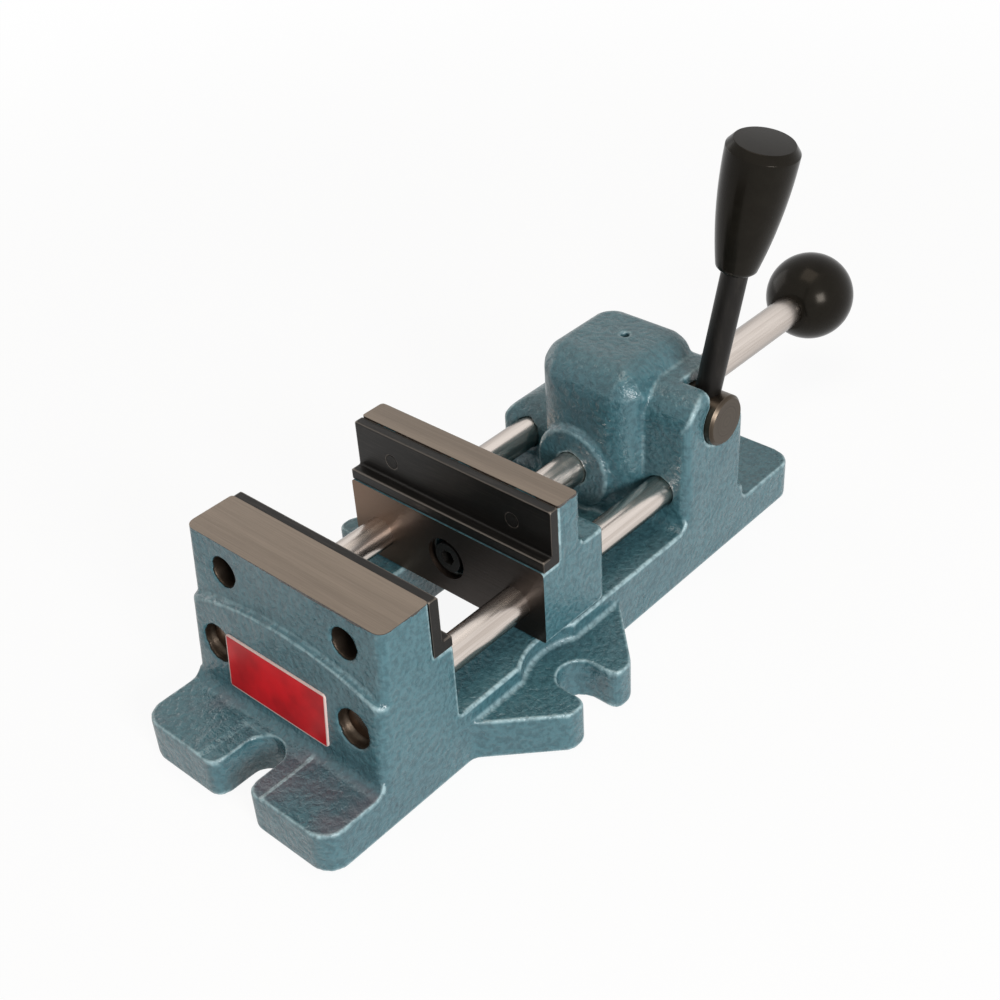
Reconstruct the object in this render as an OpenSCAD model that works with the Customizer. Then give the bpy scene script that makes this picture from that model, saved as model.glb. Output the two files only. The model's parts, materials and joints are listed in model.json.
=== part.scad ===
// Drill press vise with cam lever, guide rods and a quick push-pull shaft.
// Millimetres. X is across the vise, Y runs from the fixed jaw to the ball knob, Z is up.
// The origin is on the underside, below the clamping face of the fixed jaw plate.

/* [Base] */
// Width of the casting and of both jaws
body_w = 101.6; // [98:0.2:106]
// Front end of the foot, ahead of the clamping face
foot_front = 63.4; // [60:0.2:70]
// Rear end of the flange
base_rear = 227.2; // [220:0.2:240]
// Thickness of foot, ears and rear flange
foot_t = 18.4; // [15:0.2:20]
// Height of the rail tops
rail_top = 26; // [22:0.2:28]
// Radius of the foot's and the flange's corners
corner_r = 9; // [5:0.5:12]
// Width of the opening between the rails
opening_w = 52; // [40:1:56]
// Front end of the opening between the rails
opening_front = 12; // [10:1:30]
// Rear end of the opening between the rails
opening_rear = 122; // [110:1:124]
// Radius of the cast fillets at the foot and the towers
fillet_r = 5; // [3:0.5:7]

/* [Bolt slots] */
// Width of every bolt slot
slot_w = 17.5; // [14:0.5:19]
// Length of the front slot
front_slot_len = 24; // [18:0.5:26]
// Length of the rear slot
rear_slot_len = 24; // [18:0.5:28]
// Outer face of an ear, from the centre plane
ear_reach = 77; // [73:0.1:82]
// Middle of the ears along the vise
ear_y = 54.6; // [50:0.1:60]
// Length of an ear's outer face
ear_flat = 36; // [32:0.5:44]
// Length of an ear's slot
ear_slot_len = 19.6; // [14:0.1:20]
// Radius of the washer scallop in the rail beside an ear
scallop_r = 29; // [27:0.5:31]
// Width of the washer seat beside the front slot
seat_w = 34; // [30:1:40]
// Depth of the washer seat beside the front slot
seat_depth = 0.8; // [0.4:0.1:1.5]

/* [Fixed jaw] */
// Height of both jaws
jaw_top = 86.4; // [84:0.2:89]
// Front edge of the jaw's top, ahead of the clamping face
fixed_front = 26.8; // [24:0.2:28]
// Front edge of the skirt's arched top at the sides, ahead of the clamping face
skirt_front = 31.8; // [30.4:0.2:34]
// Lean of both front faces, cast with draft
draft = 5; // [3:0.5:6]
// Height of the skirt's arched edge in the middle
arch_mid = 64.2; // [60:0.2:66]
// Height of the skirt's arched edge at the sides
arch_side = 55.8; // [53:0.1:58]
// Depth of iron under the heads of the fixed plate's screws
fixed_screw_web = 8; // [6:0.5:10]

/* [Jaw plates] */
// Thickness of a jaw plate
plate_t = 4.4; // [4:0.1:6]
// Depth of the step along a plate's lower edge
step_depth = 4.8; // [4:0.1:6]
// Height of the step
step_h = 4.7; // [4:0.1:7]
// Height of a plate's lower edge
plate_bottom = 60.8; // [59:0.1:62]
// Distance of a plate's upper edge below the jaw's top
plate_drop = 0.6; // [0:0.1:1]
// Distance between a plate's two screws
screw_spread = 63; // [56:1:72]
// Height of the screws in the fixed jaw
fixed_screw_z = 73.6; // [72:0.2:75]
// Height of the screws in the moving jaw
moving_screw_z = 74; // [72:0.2:75]

/* [Moving jaw] */
// Distance between the clamping faces as shown
jaw_gap = 59.1; // [40:0.1:70]
// Length of the moving jaw under its step
jaw_len = 37.2; // [35:0.1:39]
// Height of the shoulder behind the moving jaw's upright
shoulder_z = 61; // [58:0.2:62]
// Thickness of the upright at its foot
upright_t = 13.8; // [13.2:0.1:15]
// Thickness of the upright at its top
upright_top_t = 12.8; // [12.4:0.1:13]
// Depth of iron under the heads of the moving plate's screws
moving_screw_web = 6; // [5:0.1:6.2]

/* [Guide rods] */
// Diameter of a guide rod
rod_d = 13.5; // [12:0.1:15]
// Distance between the rods
rod_spread = 72.8; // [68:0.2:76]
// Height of the rods
rod_z = 40.5; // [39:0.1:42]
// Diameter of the recess in front of a rod
rod_recess_d = 15.6; // [15.2:0.1:17]
// Depth of the recess in front of a rod
rod_recess = 4; // [2:0.5:6]
// Rear end of the rods
rod_rear = 175; // [168:1:178]

/* [Operating shaft] */
// Diameter of the operating shaft
shaft_d = 15; // [13:0.1:15.6]
// Height of the operating shaft
shaft_z = 43.9; // [43:0.1:45.4]
// Length of the shaft that sits in the moving jaw
shaft_seat = 20; // [16:0.5:22]
// Free length of the shaft from the moving jaw to the ball
shaft_free = 208.7; // [200:0.1:220]
// Diameter of the ball knob
ball_d = 42.6; // [38:0.1:48]
// Diameter of the flat where the ball meets the shaft
ball_flat_d = 19; // [17:0.5:24]
// Diameter of the recess for the nose screw
nose_recess_d = 18.6; // [17:0.1:20]

/* [Housing] */
// Front face of the towers
tower_front = 144.1; // [140:0.2:147]
// Rear face of the housing
housing_rear = 186.4; // [184:0.2:188]
// Front face of the dome
dome_front = 133.6; // [131:0.2:136]
// Left side of the dome, from the centre plane
dome_left = 22.2; // [20.6:0.1:25]
// Right side of the dome, from the centre plane
dome_right = 29; // [27:0.1:31]
// Height of the dome
dome_top = 93.4; // [91:0.1:97]
// Radius of the dome's front edges and its upper right edge
dome_r = 14; // [10:0.5:15]
// Height of the right tower
tower_top = 86.5; // [84:0.1:88]
// Radius of the right tower's front shoulder
tower_r = 14; // [10:0.5:15]
// Height of the left tower
left_tower_top = 54.2; // [52:0.1:58]
// Radius of the left tower's shoulder
left_tower_r = 14; // [8:0.5:15]
// Front face of the shaft boss
boss_front = 131.2; // [129:0.1:132]
// Diameter of the shaft boss
boss_d = 38.4; // [34:0.2:40]
// Diameter of the oil hole in the dome
oil_d = 3.6; // [2.5:0.1:5]
// Distance of the oil hole from the centre plane
oil_x = 2; // [0:0.5:4]

/* [Cam and lever] */
// Diameter of the cam shaft
cam_d = 22; // [21:0.1:22.6]
// Cam shaft's axis along the vise
cam_y = 166.7; // [165.5:0.1:168]
// Height of the cam shaft's axis
cam_z = 70.2; // [69:0.1:71.5]
// Outer end of the cam shaft, from the centre plane
cam_end = 54; // [52:0.1:58]
// Diameter of the eccentric in the middle of the cam shaft
eccentric_d = 19; // [17:0.1:19.4]
// Offset of the eccentric
eccentricity = 1.2; // [0.8:0.05:1.3]
// Lever turn at which the eccentric's offset lies level
eccentric_level = 33; // [28:1:38]
// Front wall of the lever's slot
lever_slot_front = 159.6; // [158.6:0.1:160]
// Floor of the lever's slot behind the cam shaft
lever_slot_floor = 64; // [62:0.2:65]
// Distance of the lever's foot from the centre plane
lever_x = 42.1; // [41.5:0.1:43]
// Diameter of the lever rod
lever_d = 10.8; // [9:0.1:11]
// Lean of the lever to the rear as shown
lever_lean = 3; // [2:0.5:6]
// Outward lean of the lever
lever_splay = 9; // [6:0.5:10]
// Length of the lever, from the cam shaft's axis to the top of its grip
lever_len = 121.5; // [112:0.5:135]
// Length of the grip
grip_len = 53; // [47:0.5:60]
// Diameter of the grip's lower end
grip_low_d = 16.5; // [15.5:0.1:18]
// Largest diameter of the grip
grip_top_d = 28; // [25:0.1:32]

/* [Fits] */
// Radial clearance of pieces that slide or turn in each other
running_fit = 0.06; // [0.02:0.01:0.1]
// Radial clearance of pieces that are fixed in each other
seat_fit = 0.04; // [0.02:0.01:0.1]
// Gap round the cam shoe and round the screws' shanks
slide_gap = 0.4; // [0.3:0.05:0.6]

/* [Hidden] */
$fn = 96;
IRON_BLUE = [0.36, 0.48, 0.53];
STEEL = [0.78, 0.76, 0.74];
OXIDE = [0.13, 0.12, 0.12];
PHENOLIC = [0.07, 0.07, 0.07];
BRASS = [0.78, 0.62, 0.30];
half_w = body_w / 2;
half_slot = slot_w / 2;
overlap = 1;
rod_r = rod_d / 2;
rod_x = rod_spread / 2;
shaft_r = shaft_d / 2;
cam_r = cam_d / 2;
lever_r = lever_d / 2;
screw_x = screw_spread / 2;
plate_top = jaw_top - plate_drop;
// Ledge under a plate's step, and the gap under the moving jaw
ledge_lip = 0.6;
ledge = step_depth + ledge_lip;
jaw_lift = 1;
// Front faces at other heights than those they are given at
skirt_foot = -skirt_front - (arch_side - foot_t) * tan(draft);
rod_front = -skirt_front - (arch_side - rod_z) * tan(draft) + rod_recess;
// Edges of the casting that are rounded where they are cast upright
upright_edge_r = 4;
lobe_r = 5;
ear_r = 6;
rear_edge_r = 6;
rear_top_r = 8;
dome_left_r = 7;
dome_rear_r = 12;
corner_ease = 0.6;
// Steps in which an upper corner of the dome turns, and what they stay clear of its faces by
turns = 4;
turn_ease = 0.1;
boss_edge_r = 2.5;
jaw_edge_r = 2;
plate_edge_r = 0.5;
// Straight end of a bolt slot between its two arcs
slot_flat = 0.1;
// Centre of a washer scallop inside the ear's outer face
scallop_inset = 2;
// Sides of the circles that are drawn as wide arcs
arc_sides = 360;
// Jaw plate screws: shank, head and socket
plate_screw_d = 6;
plate_screw_head_d = 10;
plate_screw_head_h = 6;
plate_screw_key = 5;
plate_screw_recess_d = 12.4;
// Nose screw and washer
nose_screw_d = 8;
nose_head_d = 13;
nose_head_h = 8;
nose_key = 6;
nose_sunk = 0.9;
nose_thread = 15;
washer_d = 16;
washer_t = 1.6;
// Set screws
set_screw_d = 6;
set_screw_len = 12;
set_screw_key = 3;
rod_screw_y = 162;
// Cam shaft sections
cam_left = -18.4;
eccentric_half = 10.4;
cam_chamfer = 1.2;
groove_x = -14;
groove_w = 4.4;
groove_depth = 2;
groove_r = cam_r - groove_depth;
dog_gap = 0.3;
retaining_sunk = 0.5;
retaining_len = housing_rear - retaining_sunk - cam_y - cam_r - slide_gap;
lever_bury = 7;
// Cam shoe
shoe_w = 2 * (eccentric_half - slide_gap);
shoe_len = 14;
shoe_skirt = 4;
shoe_gap = 0.3;
shoe_turn = 39;
shoe_drop = eccentricity * (sin(shoe_turn) - sin(-eccentric_level));
// Stud and insert of the ball, insert of the grip
stud_d = 10;
stud_len = 16;
insert_d = 14;
insert_len = 20;
grip_insert_d = 13.6;
grip_insert_len = 22;
lever_grip_depth = 18;
grip_chamfer = 3;
grip_rim = 2.4;
grip_edge = 1;
grip_start = lever_len - grip_len;
grip_top_r = grip_top_d / 2;
grip_side = grip_len - grip_chamfer;
grip_flare = grip_top_r - grip_low_d / 2;
grip_arc_r = (grip_side * grip_side + grip_flare * grip_flare) / (2 * grip_flare);
// Moving jaw, measured from the clamping face of the fixed jaw
moving_face = jaw_gap;
moving_seat = moving_face + plate_t;
moving_front = moving_face - ledge;
moving_rear = moving_front + jaw_len;
moving_bottom = rail_top + jaw_lift;
shaft_nose = moving_rear - shaft_seat;
ball_face = moving_rear + shaft_free;
ball_y = ball_face + sqrt(pow(ball_d / 2, 2) - pow(ball_flat_d / 2, 2));
washer_y = moving_front + nose_sunk + nose_head_h;
nose_floor = washer_y + washer_t;
eccentric_y = cam_y + eccentricity * cos(eccentric_level);
eccentric_z = cam_z + eccentricity * sin(eccentric_level);
shoe_top = cam_z - eccentric_d / 2 + eccentricity * sin(eccentric_level) - shoe_gap;
shoe_crown = shaft_z + shaft_r + shoe_gap + shoe_drop;

// Front line of a leaning plan, along its own ground, for a face that passes y at height z
function leaning_front(y, z) = (y - z * tan(draft)) * cos(draft);
function unit(v) = v / norm(v);
function turn(p, q, s) = (q.x - p.x) * (s.y - q.y) - (q.y - p.y) * (s.x - q.x);
function half_angle(p, q, s) = acos(unit(p - q) * unit(s - q)) / 2;
function bisector(p, q, s) = unit(unit(p - q) + unit(s - q));
function arc_centre(p, q, s, r) = q + bisector(p, q, s) * r / sin(half_angle(p, q, s));
function arc_ends(p, q, s, r) =
    let (d = r / tan(half_angle(p, q, s))) [q + unit(p - q) * d, q + unit(s - q) * d];

// Outline with a true arc at each corner: corners run counter-clockwise, each with its own radius
module outline(corners, radii) {
    n = len(corners);
    steps = [for (i = [0:n - 1]) [corners[(i + n - 1) % n], corners[i], corners[(i + 1) % n], radii[i]]];
    difference() {
        union() {
            polygon([for (c = steps) each c[3] == 0 ? [c[1]] : arc_ends(c[0], c[1], c[2], c[3])]);
            for (c = steps)
                if (c[3] > 0 && turn(c[0], c[1], c[2]) > 0)
                    translate(arc_centre(c[0], c[1], c[2], c[3])) circle(r = c[3]);
        }
        for (c = steps)
            if (c[3] > 0 && turn(c[0], c[1], c[2]) < 0)
                translate(arc_centre(c[0], c[1], c[2], c[3])) circle(r = c[3]);
    }
}

// Rectangle with a radius at each corner, from the lower left corner counter-clockwise
module round_rect(low, high, radii)
    outline([low, [high.x, low.y], high, [low.x, high.y]], radii);

// Profile in Y and Z, drawn out along X
module along_x(x0, x1)
    translate([x0, 0, 0]) rotate([90, 0, 90]) linear_extrude(x1 - x0) children();

// Profile in X and Z, drawn out along Y
module along_y(y0, y1)
    translate([0, y1, 0]) rotate([90, 0, 0]) linear_extrude(y1 - y0) children();

// Round bars along Y and along X
module bar_y(x, z, d, y0, y1)
    translate([x, y0, z]) rotate([-90, 0, 0]) cylinder(d = d, h = y1 - y0);
module bar_x(y, z, d, x0, x1)
    translate([x0, y, z]) rotate([0, 90, 0]) cylinder(d = d, h = x1 - x0);

// Hexagonal prism across its flats
module hex_key(key, h) cylinder(d = key / cos(30), h = h, $fn = 6);

// Plan carried upwards along the lean of the fixed jaw's front faces
module leaning(h)
    rotate([-draft, 0, 0]) translate([0, 0, -h]) linear_extrude(3 * h) children();

// Copies on both sides of the centre plane
module both_sides() {
    children();
    mirror([1, 0, 0]) children();
}

// Cast fillet in the corner q between the sides towards p and s, set into the solid behind them
module corner_fillet(p, q, s, r) {
    ends = arc_ends(p, q, s, r);
    into = -bisector(p, q, s) * 2 * overlap;
    difference() {
        polygon([ends[0], ends[0] + into, q + into, ends[1] + into, ends[1]]);
        translate(arc_centre(p, q, s, r)) circle(r = r);
    }
}

// Socket screw along +Y: head in front of y, shank behind it
module socket_screw(x, y, z, d, head_d, head_h, key, len) {
    difference() {
        bar_y(x, z, head_d, y - head_h, y);
        translate([x, y - head_h - overlap, z]) rotate([-90, 0, 0]) hex_key(key, head_h / 2 + overlap);
    }
    bar_y(x, z, d, y, y + len);
}

// Plan of the foot, ears and rear flange, with the four bolt slots
module base_plan() {
    rise = ear_reach - half_w;
    near = ear_y - ear_flat / 2;
    far = ear_y + ear_flat / 2;
    slot_end = ear_reach - ear_slot_len;
    end_r = (slot_w - slot_flat) / 2;
    front_end = front_slot_len - foot_front;
    rear_end = base_rear - rear_slot_len;
    right = [
        [half_slot, front_end, end_r], [half_slot, -foot_front, lobe_r], [half_w, -foot_front, corner_r],
        [half_w, near - rise, ear_r], [ear_reach, near, ear_r], [ear_reach, ear_y - half_slot, upright_edge_r],
        [slot_end, ear_y - half_slot, end_r], [slot_end, ear_y + half_slot, end_r],
        [ear_reach, ear_y + half_slot, upright_edge_r], [ear_reach, far, ear_r], [half_w, far + rise, ear_r],
        [half_w, base_rear, corner_r], [half_slot, base_rear, lobe_r], [half_slot, rear_end, end_r]];
    last = len(right) - 1;
    whole = concat(right, [for (i = [0:last]) let (c = right[last - i]) [-c.x, c.y, c.z]]);
    outline([for (c = whole) [c.x, c.y]], [for (c = whole) c.z]);
}

// Two rails, cut back beside the ears for the washers
module rails()
    difference() {
        translate([-half_w, -fixed_front, 0]) cube([body_w, housing_rear + fixed_front, rail_top]);
        both_sides() translate([ear_reach - scallop_inset, ear_y, foot_t])
            cylinder(r = scallop_r, h = rail_top);
    }

// Plan of a leaning block whose front face passes y at height z
module leaning_plan(y, z)
    leaning(jaw_top) round_rect([-half_w, leaning_front(y, z)], [half_w, foot_front],
        [upright_edge_r, upright_edge_r, 0, 0]);

// Fixed jaw: upright block and the arched skirt in front of it, both with leaning fronts
module fixed_jaw() {
    arch_rise = arch_mid - arch_side;
    arch_r = (half_w * half_w + arch_rise * arch_rise) / (2 * arch_rise);
    intersection() {
        along_x(-half_w - overlap, half_w + overlap)
            polygon([[-foot_front, foot_t / 2], [ledge, foot_t / 2], [ledge, plate_bottom],
                [-plate_t, plate_bottom], [-plate_t, jaw_top], [-foot_front, jaw_top]]);
        leaning_plan(-fixed_front, jaw_top);
    }
    intersection() {
        along_y(-foot_front, -plate_t) intersection() {
            translate([-half_w - overlap, foot_t / 2]) square([body_w + 2 * overlap, arch_mid]);
            translate([0, arch_mid - arch_r]) circle(r = arch_r, $fn = arc_sides);
        }
        leaning_plan(-skirt_front, arch_side);
    }
    along_x(-half_w, half_w)
        corner_fillet([-foot_front, foot_t], [skirt_foot, foot_t], [-skirt_front, arch_side], fillet_r);
}

// Tower that holds a guide rod: the box from x0 to x1 with its front, side and top edges rounded
module tower(x0, x1, top, plan_r, side_r, front_r)
    intersection() {
        linear_extrude(top) round_rect([x0, tower_front], [x1, housing_rear], plan_r);
        along_x(x0, x1) round_rect([tower_front, 0], [housing_rear, top], side_r);
        along_y(tower_front, housing_rear) round_rect([x0, 0], [x1, top], front_r);
    }

// What rounds off the dome's right corner between its front, side and top edges
module dome_corner()
    translate([dome_right - dome_r, dome_front + dome_r, dome_top - dome_r]) difference() {
        translate([0, -2 * dome_r, 0]) cube(2 * dome_r);
        rotate_extrude() intersection() {
            circle(r = dome_r + corner_ease);
            translate([0, -2 * dome_r]) square(4 * dome_r);
        }
    }

// Wide blocks that together round off an upper corner of the dome, whose arc in plan has its centre at x, y.
// They face from the given angle to a right angle further; their upper edges go from first_r to last_r
module dome_turns(x, y, plan_r, angle, first_r, last_r)
    intersection_for (k = [1:turns - 1])
        translate([x, y, 0]) rotate([0, 0, -angle - 90 * k / turns])
            along_x(-housing_rear, housing_rear)
                round_rect([-plan_r - turn_ease, 0], [housing_rear, dome_top + turn_ease],
                    [0, 0, 0, first_r + (last_r - first_r) * k / turns + turn_ease]);

// Dome over the cam, rounded in plan, from the side and from the front
module dome()
    difference() {
        intersection() {
            linear_extrude(dome_top) round_rect([-dome_left, dome_front], [dome_right, housing_rear],
                [dome_r, dome_r, dome_r, dome_rear_r]);
            along_x(-dome_left, dome_right)
                round_rect([dome_front, 0], [housing_rear, dome_top], [0, 0, rear_top_r, dome_r]);
            along_y(dome_front, housing_rear)
                round_rect([-dome_left, 0], [dome_right, dome_top], [0, 0, dome_r, dome_left_r]);
            dome_turns(dome_r - dome_left, dome_front + dome_r, dome_r, 0, dome_r, dome_left_r);
            dome_turns(dome_rear_r - dome_left, housing_rear - dome_rear_r, dome_rear_r, 90, dome_left_r,
                rear_top_r);
            dome_turns(dome_right - dome_r, housing_rear - dome_r, dome_r, 180, rear_top_r, dome_r);
        }
        dome_corner();
    }

// Housing over the cam shaft: dome, both towers and the shaft boss
module housing() {
    dome();
    tower(0, half_w, tower_top, [0, upright_edge_r, rear_edge_r, 0], [0, 0, rear_top_r, tower_r],
        [0, 0, upright_edge_r, 0]);
    tower(-half_w, 0, left_tower_top, [upright_edge_r, 0, 0, rear_edge_r],
        [0, 0, upright_edge_r, left_tower_r], [0, 0, 0, left_tower_r]);
    translate([0, boss_front, shaft_z]) rotate([-90, 0, 0]) rotate_extrude()
        round_rect([0, 0], [boss_d / 2, dome_front + dome_r - boss_front], [0, boss_edge_r, 0, 0]);
    along_x(-half_w, half_w)
        corner_fillet([0, rail_top], [tower_front, rail_top], [tower_front, tower_top], fillet_r);
    along_x(-half_w, half_w)
        corner_fillet([housing_rear, tower_top], [housing_rear, foot_t], [base_rear, foot_t], fillet_r);
}

// Bores and recesses of the fixed jaw
module jaw_cuts() {
    seat = -plate_t - fixed_screw_web;
    both_sides() {
        bar_y(screw_x, fixed_screw_z, plate_screw_recess_d, -foot_front, seat);
        bar_y(screw_x, fixed_screw_z, plate_screw_d + 2 * slide_gap, seat - overlap, overlap);
        bar_y(rod_x, rod_z, rod_recess_d, -foot_front, rod_front);
        bar_y(rod_x, rod_z, rod_d + 2 * seat_fit, rod_front - overlap, rod_rear);
    }
    translate([-seat_w / 2, -foot_front - overlap, foot_t - seat_depth])
        cube([seat_w, foot_front + skirt_foot - fillet_r + overlap, foot_t]);
}

// Bores, lever slot and inner pocket of the housing
module housing_cuts() {
    bar_y(0, shaft_z, shaft_d + 2 * running_fit, boss_front - overlap, housing_rear + overlap);
    bar_x(cam_y, cam_z, cam_d + 2 * running_fit, cam_left - slide_gap, half_w + overlap);
    translate([lever_x - lever_r - overlap, lever_slot_front, lever_slot_floor])
        cube([half_w, housing_rear, tower_top]);
    translate([-shoe_w / 2 - slide_gap, cam_y - shoe_len / 2 - slide_gap, shaft_z])
        cube([shoe_w + 2 * slide_gap, shoe_len + 2 * slide_gap, cam_z - shaft_z]);
    translate([oil_x, cam_y, cam_z]) cylinder(d = oil_d, h = dome_top);
    bar_y(groove_x, cam_z, set_screw_d + 2 * seat_fit, cam_y, housing_rear + overlap);
    both_sides() translate([rod_x, rod_screw_y, -overlap])
        cylinder(d = set_screw_d + 2 * seat_fit, h = rod_z);
}

module base_casting()
    color(IRON_BLUE) difference() {
        union() {
            linear_extrude(foot_t) base_plan();
            rails();
            fixed_jaw();
            housing();
        }
        translate([0, 0, -overlap]) linear_extrude(rail_top + 2 * overlap)
            round_rect([-opening_w / 2, opening_front], [opening_w / 2, opening_rear],
                [corner_r, corner_r, corner_r, corner_r]);
        jaw_cuts();
        housing_cuts();
    }

// Stepped plate with its back at y = 0, its step towards +Y
module jaw_plate(screw_z)
    difference() {
        along_x(-half_w, half_w) outline(
            [[0, plate_bottom], [plate_t + step_depth, plate_bottom],
                [plate_t + step_depth, plate_bottom + step_h], [plate_t, plate_bottom + step_h],
                [plate_t, plate_top], [0, plate_top]],
            [0, 0, plate_edge_r, plate_edge_r, plate_edge_r, 0]);
        both_sides() bar_y(screw_x, screw_z, plate_screw_d + 2 * seat_fit, -overlap, plate_t + overlap);
    }

module fixed_jaw_plate()
    color(OXIDE) translate([0, -plate_t, 0]) jaw_plate(fixed_screw_z);

module fixed_plate_screws()
    color(STEEL) both_sides()
        socket_screw(screw_x, -plate_t - fixed_screw_web, fixed_screw_z, plate_screw_d, plate_screw_head_d,
            plate_screw_head_h, plate_screw_key, fixed_screw_web + plate_t);

module guide_rod()
    color(STEEL) bar_y(rod_x, rod_z, rod_d, rod_front, rod_rear);

module guide_rod_left() mirror([1, 0, 0]) guide_rod();

module guide_rod_right() guide_rod();

module rod_set_screws()
    color(OXIDE) both_sides() translate([rod_x, rod_screw_y, rod_z - rod_r - set_screw_len])
        difference() {
            cylinder(d = set_screw_d, h = set_screw_len);
            translate([0, 0, -overlap]) hex_key(set_screw_key, set_screw_len / 2 + overlap);
        }

module cam_retaining_screw() {
    screw_rear = housing_rear - retaining_sunk;
    color(OXIDE) difference() {
        union() {
            bar_y(groove_x, cam_z, set_screw_d, screw_rear - retaining_len, screw_rear);
            bar_y(groove_x, cam_z, groove_w - 2 * dog_gap, cam_y + groove_r + dog_gap, screw_rear);
        }
        translate([groove_x, screw_rear - retaining_len / 2, cam_z]) rotate([-90, 0, 0])
            hex_key(set_screw_key, retaining_len);
    }
}

// What rounds off the rear edge of the moving jaw's upright at its side
module upright_corner()
    translate([half_w - upright_edge_r, moving_seat + upright_t - upright_edge_r, shoulder_z + jaw_edge_r])
        difference() {
            cube([upright_edge_r + overlap, jaw_len, jaw_top]);
            translate([0, 0, -overlap]) cylinder(r = upright_edge_r, h = jaw_top + 2 * overlap);
        }

module moving_jaw()
    color(IRON_BLUE) difference() {
        intersection() {
            along_x(-half_w - overlap, half_w + overlap) outline(
                [[moving_front, moving_bottom], [moving_rear, moving_bottom], [moving_rear, shoulder_z],
                    [moving_seat + upright_t, shoulder_z], [moving_seat + upright_top_t, jaw_top],
                    [moving_seat, jaw_top], [moving_seat, plate_bottom], [moving_front, plate_bottom]],
                [0, upright_edge_r, jaw_edge_r, jaw_edge_r, jaw_edge_r, 0, 0, 0]);
            linear_extrude(jaw_top + overlap)
                round_rect([-half_w, moving_front - overlap], [half_w, moving_rear],
                    [0, 0, upright_edge_r, upright_edge_r]);
        }
        both_sides() {
            upright_corner();
            bar_y(rod_x, rod_z, rod_d + 2 * running_fit, moving_front - overlap, moving_rear + overlap);
            bar_y(screw_x, moving_screw_z, plate_screw_d + 2 * slide_gap, moving_seat - overlap, moving_rear);
            bar_y(screw_x, moving_screw_z, plate_screw_recess_d, moving_seat + moving_screw_web, moving_rear);
        }
        bar_y(0, shaft_z, nose_recess_d, moving_front - overlap, nose_floor);
        bar_y(0, shaft_z, nose_screw_d + 2 * slide_gap, moving_front, moving_rear);
        bar_y(0, shaft_z, shaft_d + 2 * seat_fit, shaft_nose, moving_rear + overlap);
    }

module moving_jaw_plate()
    color(OXIDE) translate([0, moving_seat, 0]) mirror([0, 1, 0]) jaw_plate(moving_screw_z);

module moving_plate_screws()
    color(STEEL) translate([0, moving_seat + moving_screw_web, 0]) mirror([0, 1, 0]) both_sides()
        socket_screw(screw_x, 0, moving_screw_z, plate_screw_d, plate_screw_head_d, plate_screw_head_h,
            plate_screw_key, moving_screw_web + plate_t);

module operating_shaft()
    color(STEEL) difference() {
        union() {
            bar_y(0, shaft_z, shaft_d, shaft_nose, ball_face);
            bar_y(0, shaft_z, stud_d, ball_face, ball_face + stud_len);
        }
        bar_y(0, shaft_z, nose_screw_d + 2 * seat_fit, shaft_nose - overlap,
            nose_floor + nose_thread + overlap);
    }

module nose_washer()
    color(STEEL) difference() {
        bar_y(0, shaft_z, washer_d, washer_y, nose_floor);
        bar_y(0, shaft_z, nose_screw_d + 2 * slide_gap, washer_y - overlap, nose_floor + overlap);
    }

module nose_screw()
    color(OXIDE)
        socket_screw(0, washer_y, shaft_z, nose_screw_d, nose_head_d, nose_head_h, nose_key,
            washer_t + nose_thread);

module ball_knob()
    color(PHENOLIC) difference() {
        translate([0, ball_y, shaft_z]) rotate([-90, 0, 0]) rotate_extrude() intersection() {
            circle(d = ball_d);
            translate([0, ball_face - ball_y]) square(ball_d);
        }
        bar_y(0, shaft_z, insert_d + 2 * seat_fit, ball_face - overlap, ball_face + insert_len);
    }

module ball_insert()
    color(BRASS) difference() {
        bar_y(0, shaft_z, insert_d, ball_face, ball_face + insert_len);
        bar_y(0, shaft_z, stud_d + 2 * seat_fit, ball_face - overlap, ball_face + stud_len);
    }

// Frame of the lever: Z runs out along the lever from the cam shaft's axis
module lever_frame()
    translate([lever_x, cam_y, cam_z]) rotate([-lever_lean, lever_splay, 0]) children();

module cam_shaft()
    color(STEEL) difference() {
        union() {
            bar_x(cam_y, cam_z, cam_d, cam_left, -eccentric_half);
            bar_x(eccentric_y, eccentric_z, eccentric_d, -eccentric_half - overlap, eccentric_half + overlap);
            bar_x(cam_y, cam_z, cam_d, eccentric_half, cam_end - cam_chamfer);
            translate([cam_end - cam_chamfer, cam_y, cam_z]) rotate([0, 90, 0])
                cylinder(r1 = cam_r, r2 = cam_r - cam_chamfer, h = cam_chamfer);
        }
        difference() {
            bar_x(cam_y, cam_z, cam_d + overlap, groove_x - groove_w / 2, groove_x + groove_w / 2);
            bar_x(cam_y, cam_z, 2 * groove_r, cam_left, 0);
        }
        lever_frame() translate([0, 0, -lever_bury]) cylinder(d = lever_d + 2 * seat_fit, h = cam_d);
    }

module lever_rod()
    color(OXIDE) lever_frame() translate([0, 0, -lever_bury])
        cylinder(d = lever_d, h = lever_bury + grip_start + lever_grip_depth);

// Grip: a flared side of one wide arc, chamfered at both ends
module lever_grip()
    color(PHENOLIC) lever_frame() translate([0, 0, grip_start]) difference() {
        rotate_extrude() intersection() {
            polygon([[0, 0], [grip_top_r - grip_flare - grip_edge, 0], [grip_top_r, grip_flare + grip_edge],
                [grip_top_r, grip_side], [grip_top_r - grip_rim, grip_len], [0, grip_len]]);
            translate([grip_top_r - grip_arc_r, grip_side]) circle(r = grip_arc_r, $fn = arc_sides);
        }
        translate([0, 0, -overlap]) cylinder(d = grip_insert_d + 2 * seat_fit, h = grip_insert_len + overlap);
    }

module lever_insert()
    color(BRASS) lever_frame() translate([0, 0, grip_start]) difference() {
        cylinder(d = grip_insert_d, h = grip_insert_len);
        translate([0, 0, -overlap]) cylinder(d = lever_d + 2 * seat_fit, h = lever_grip_depth + overlap);
    }

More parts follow.
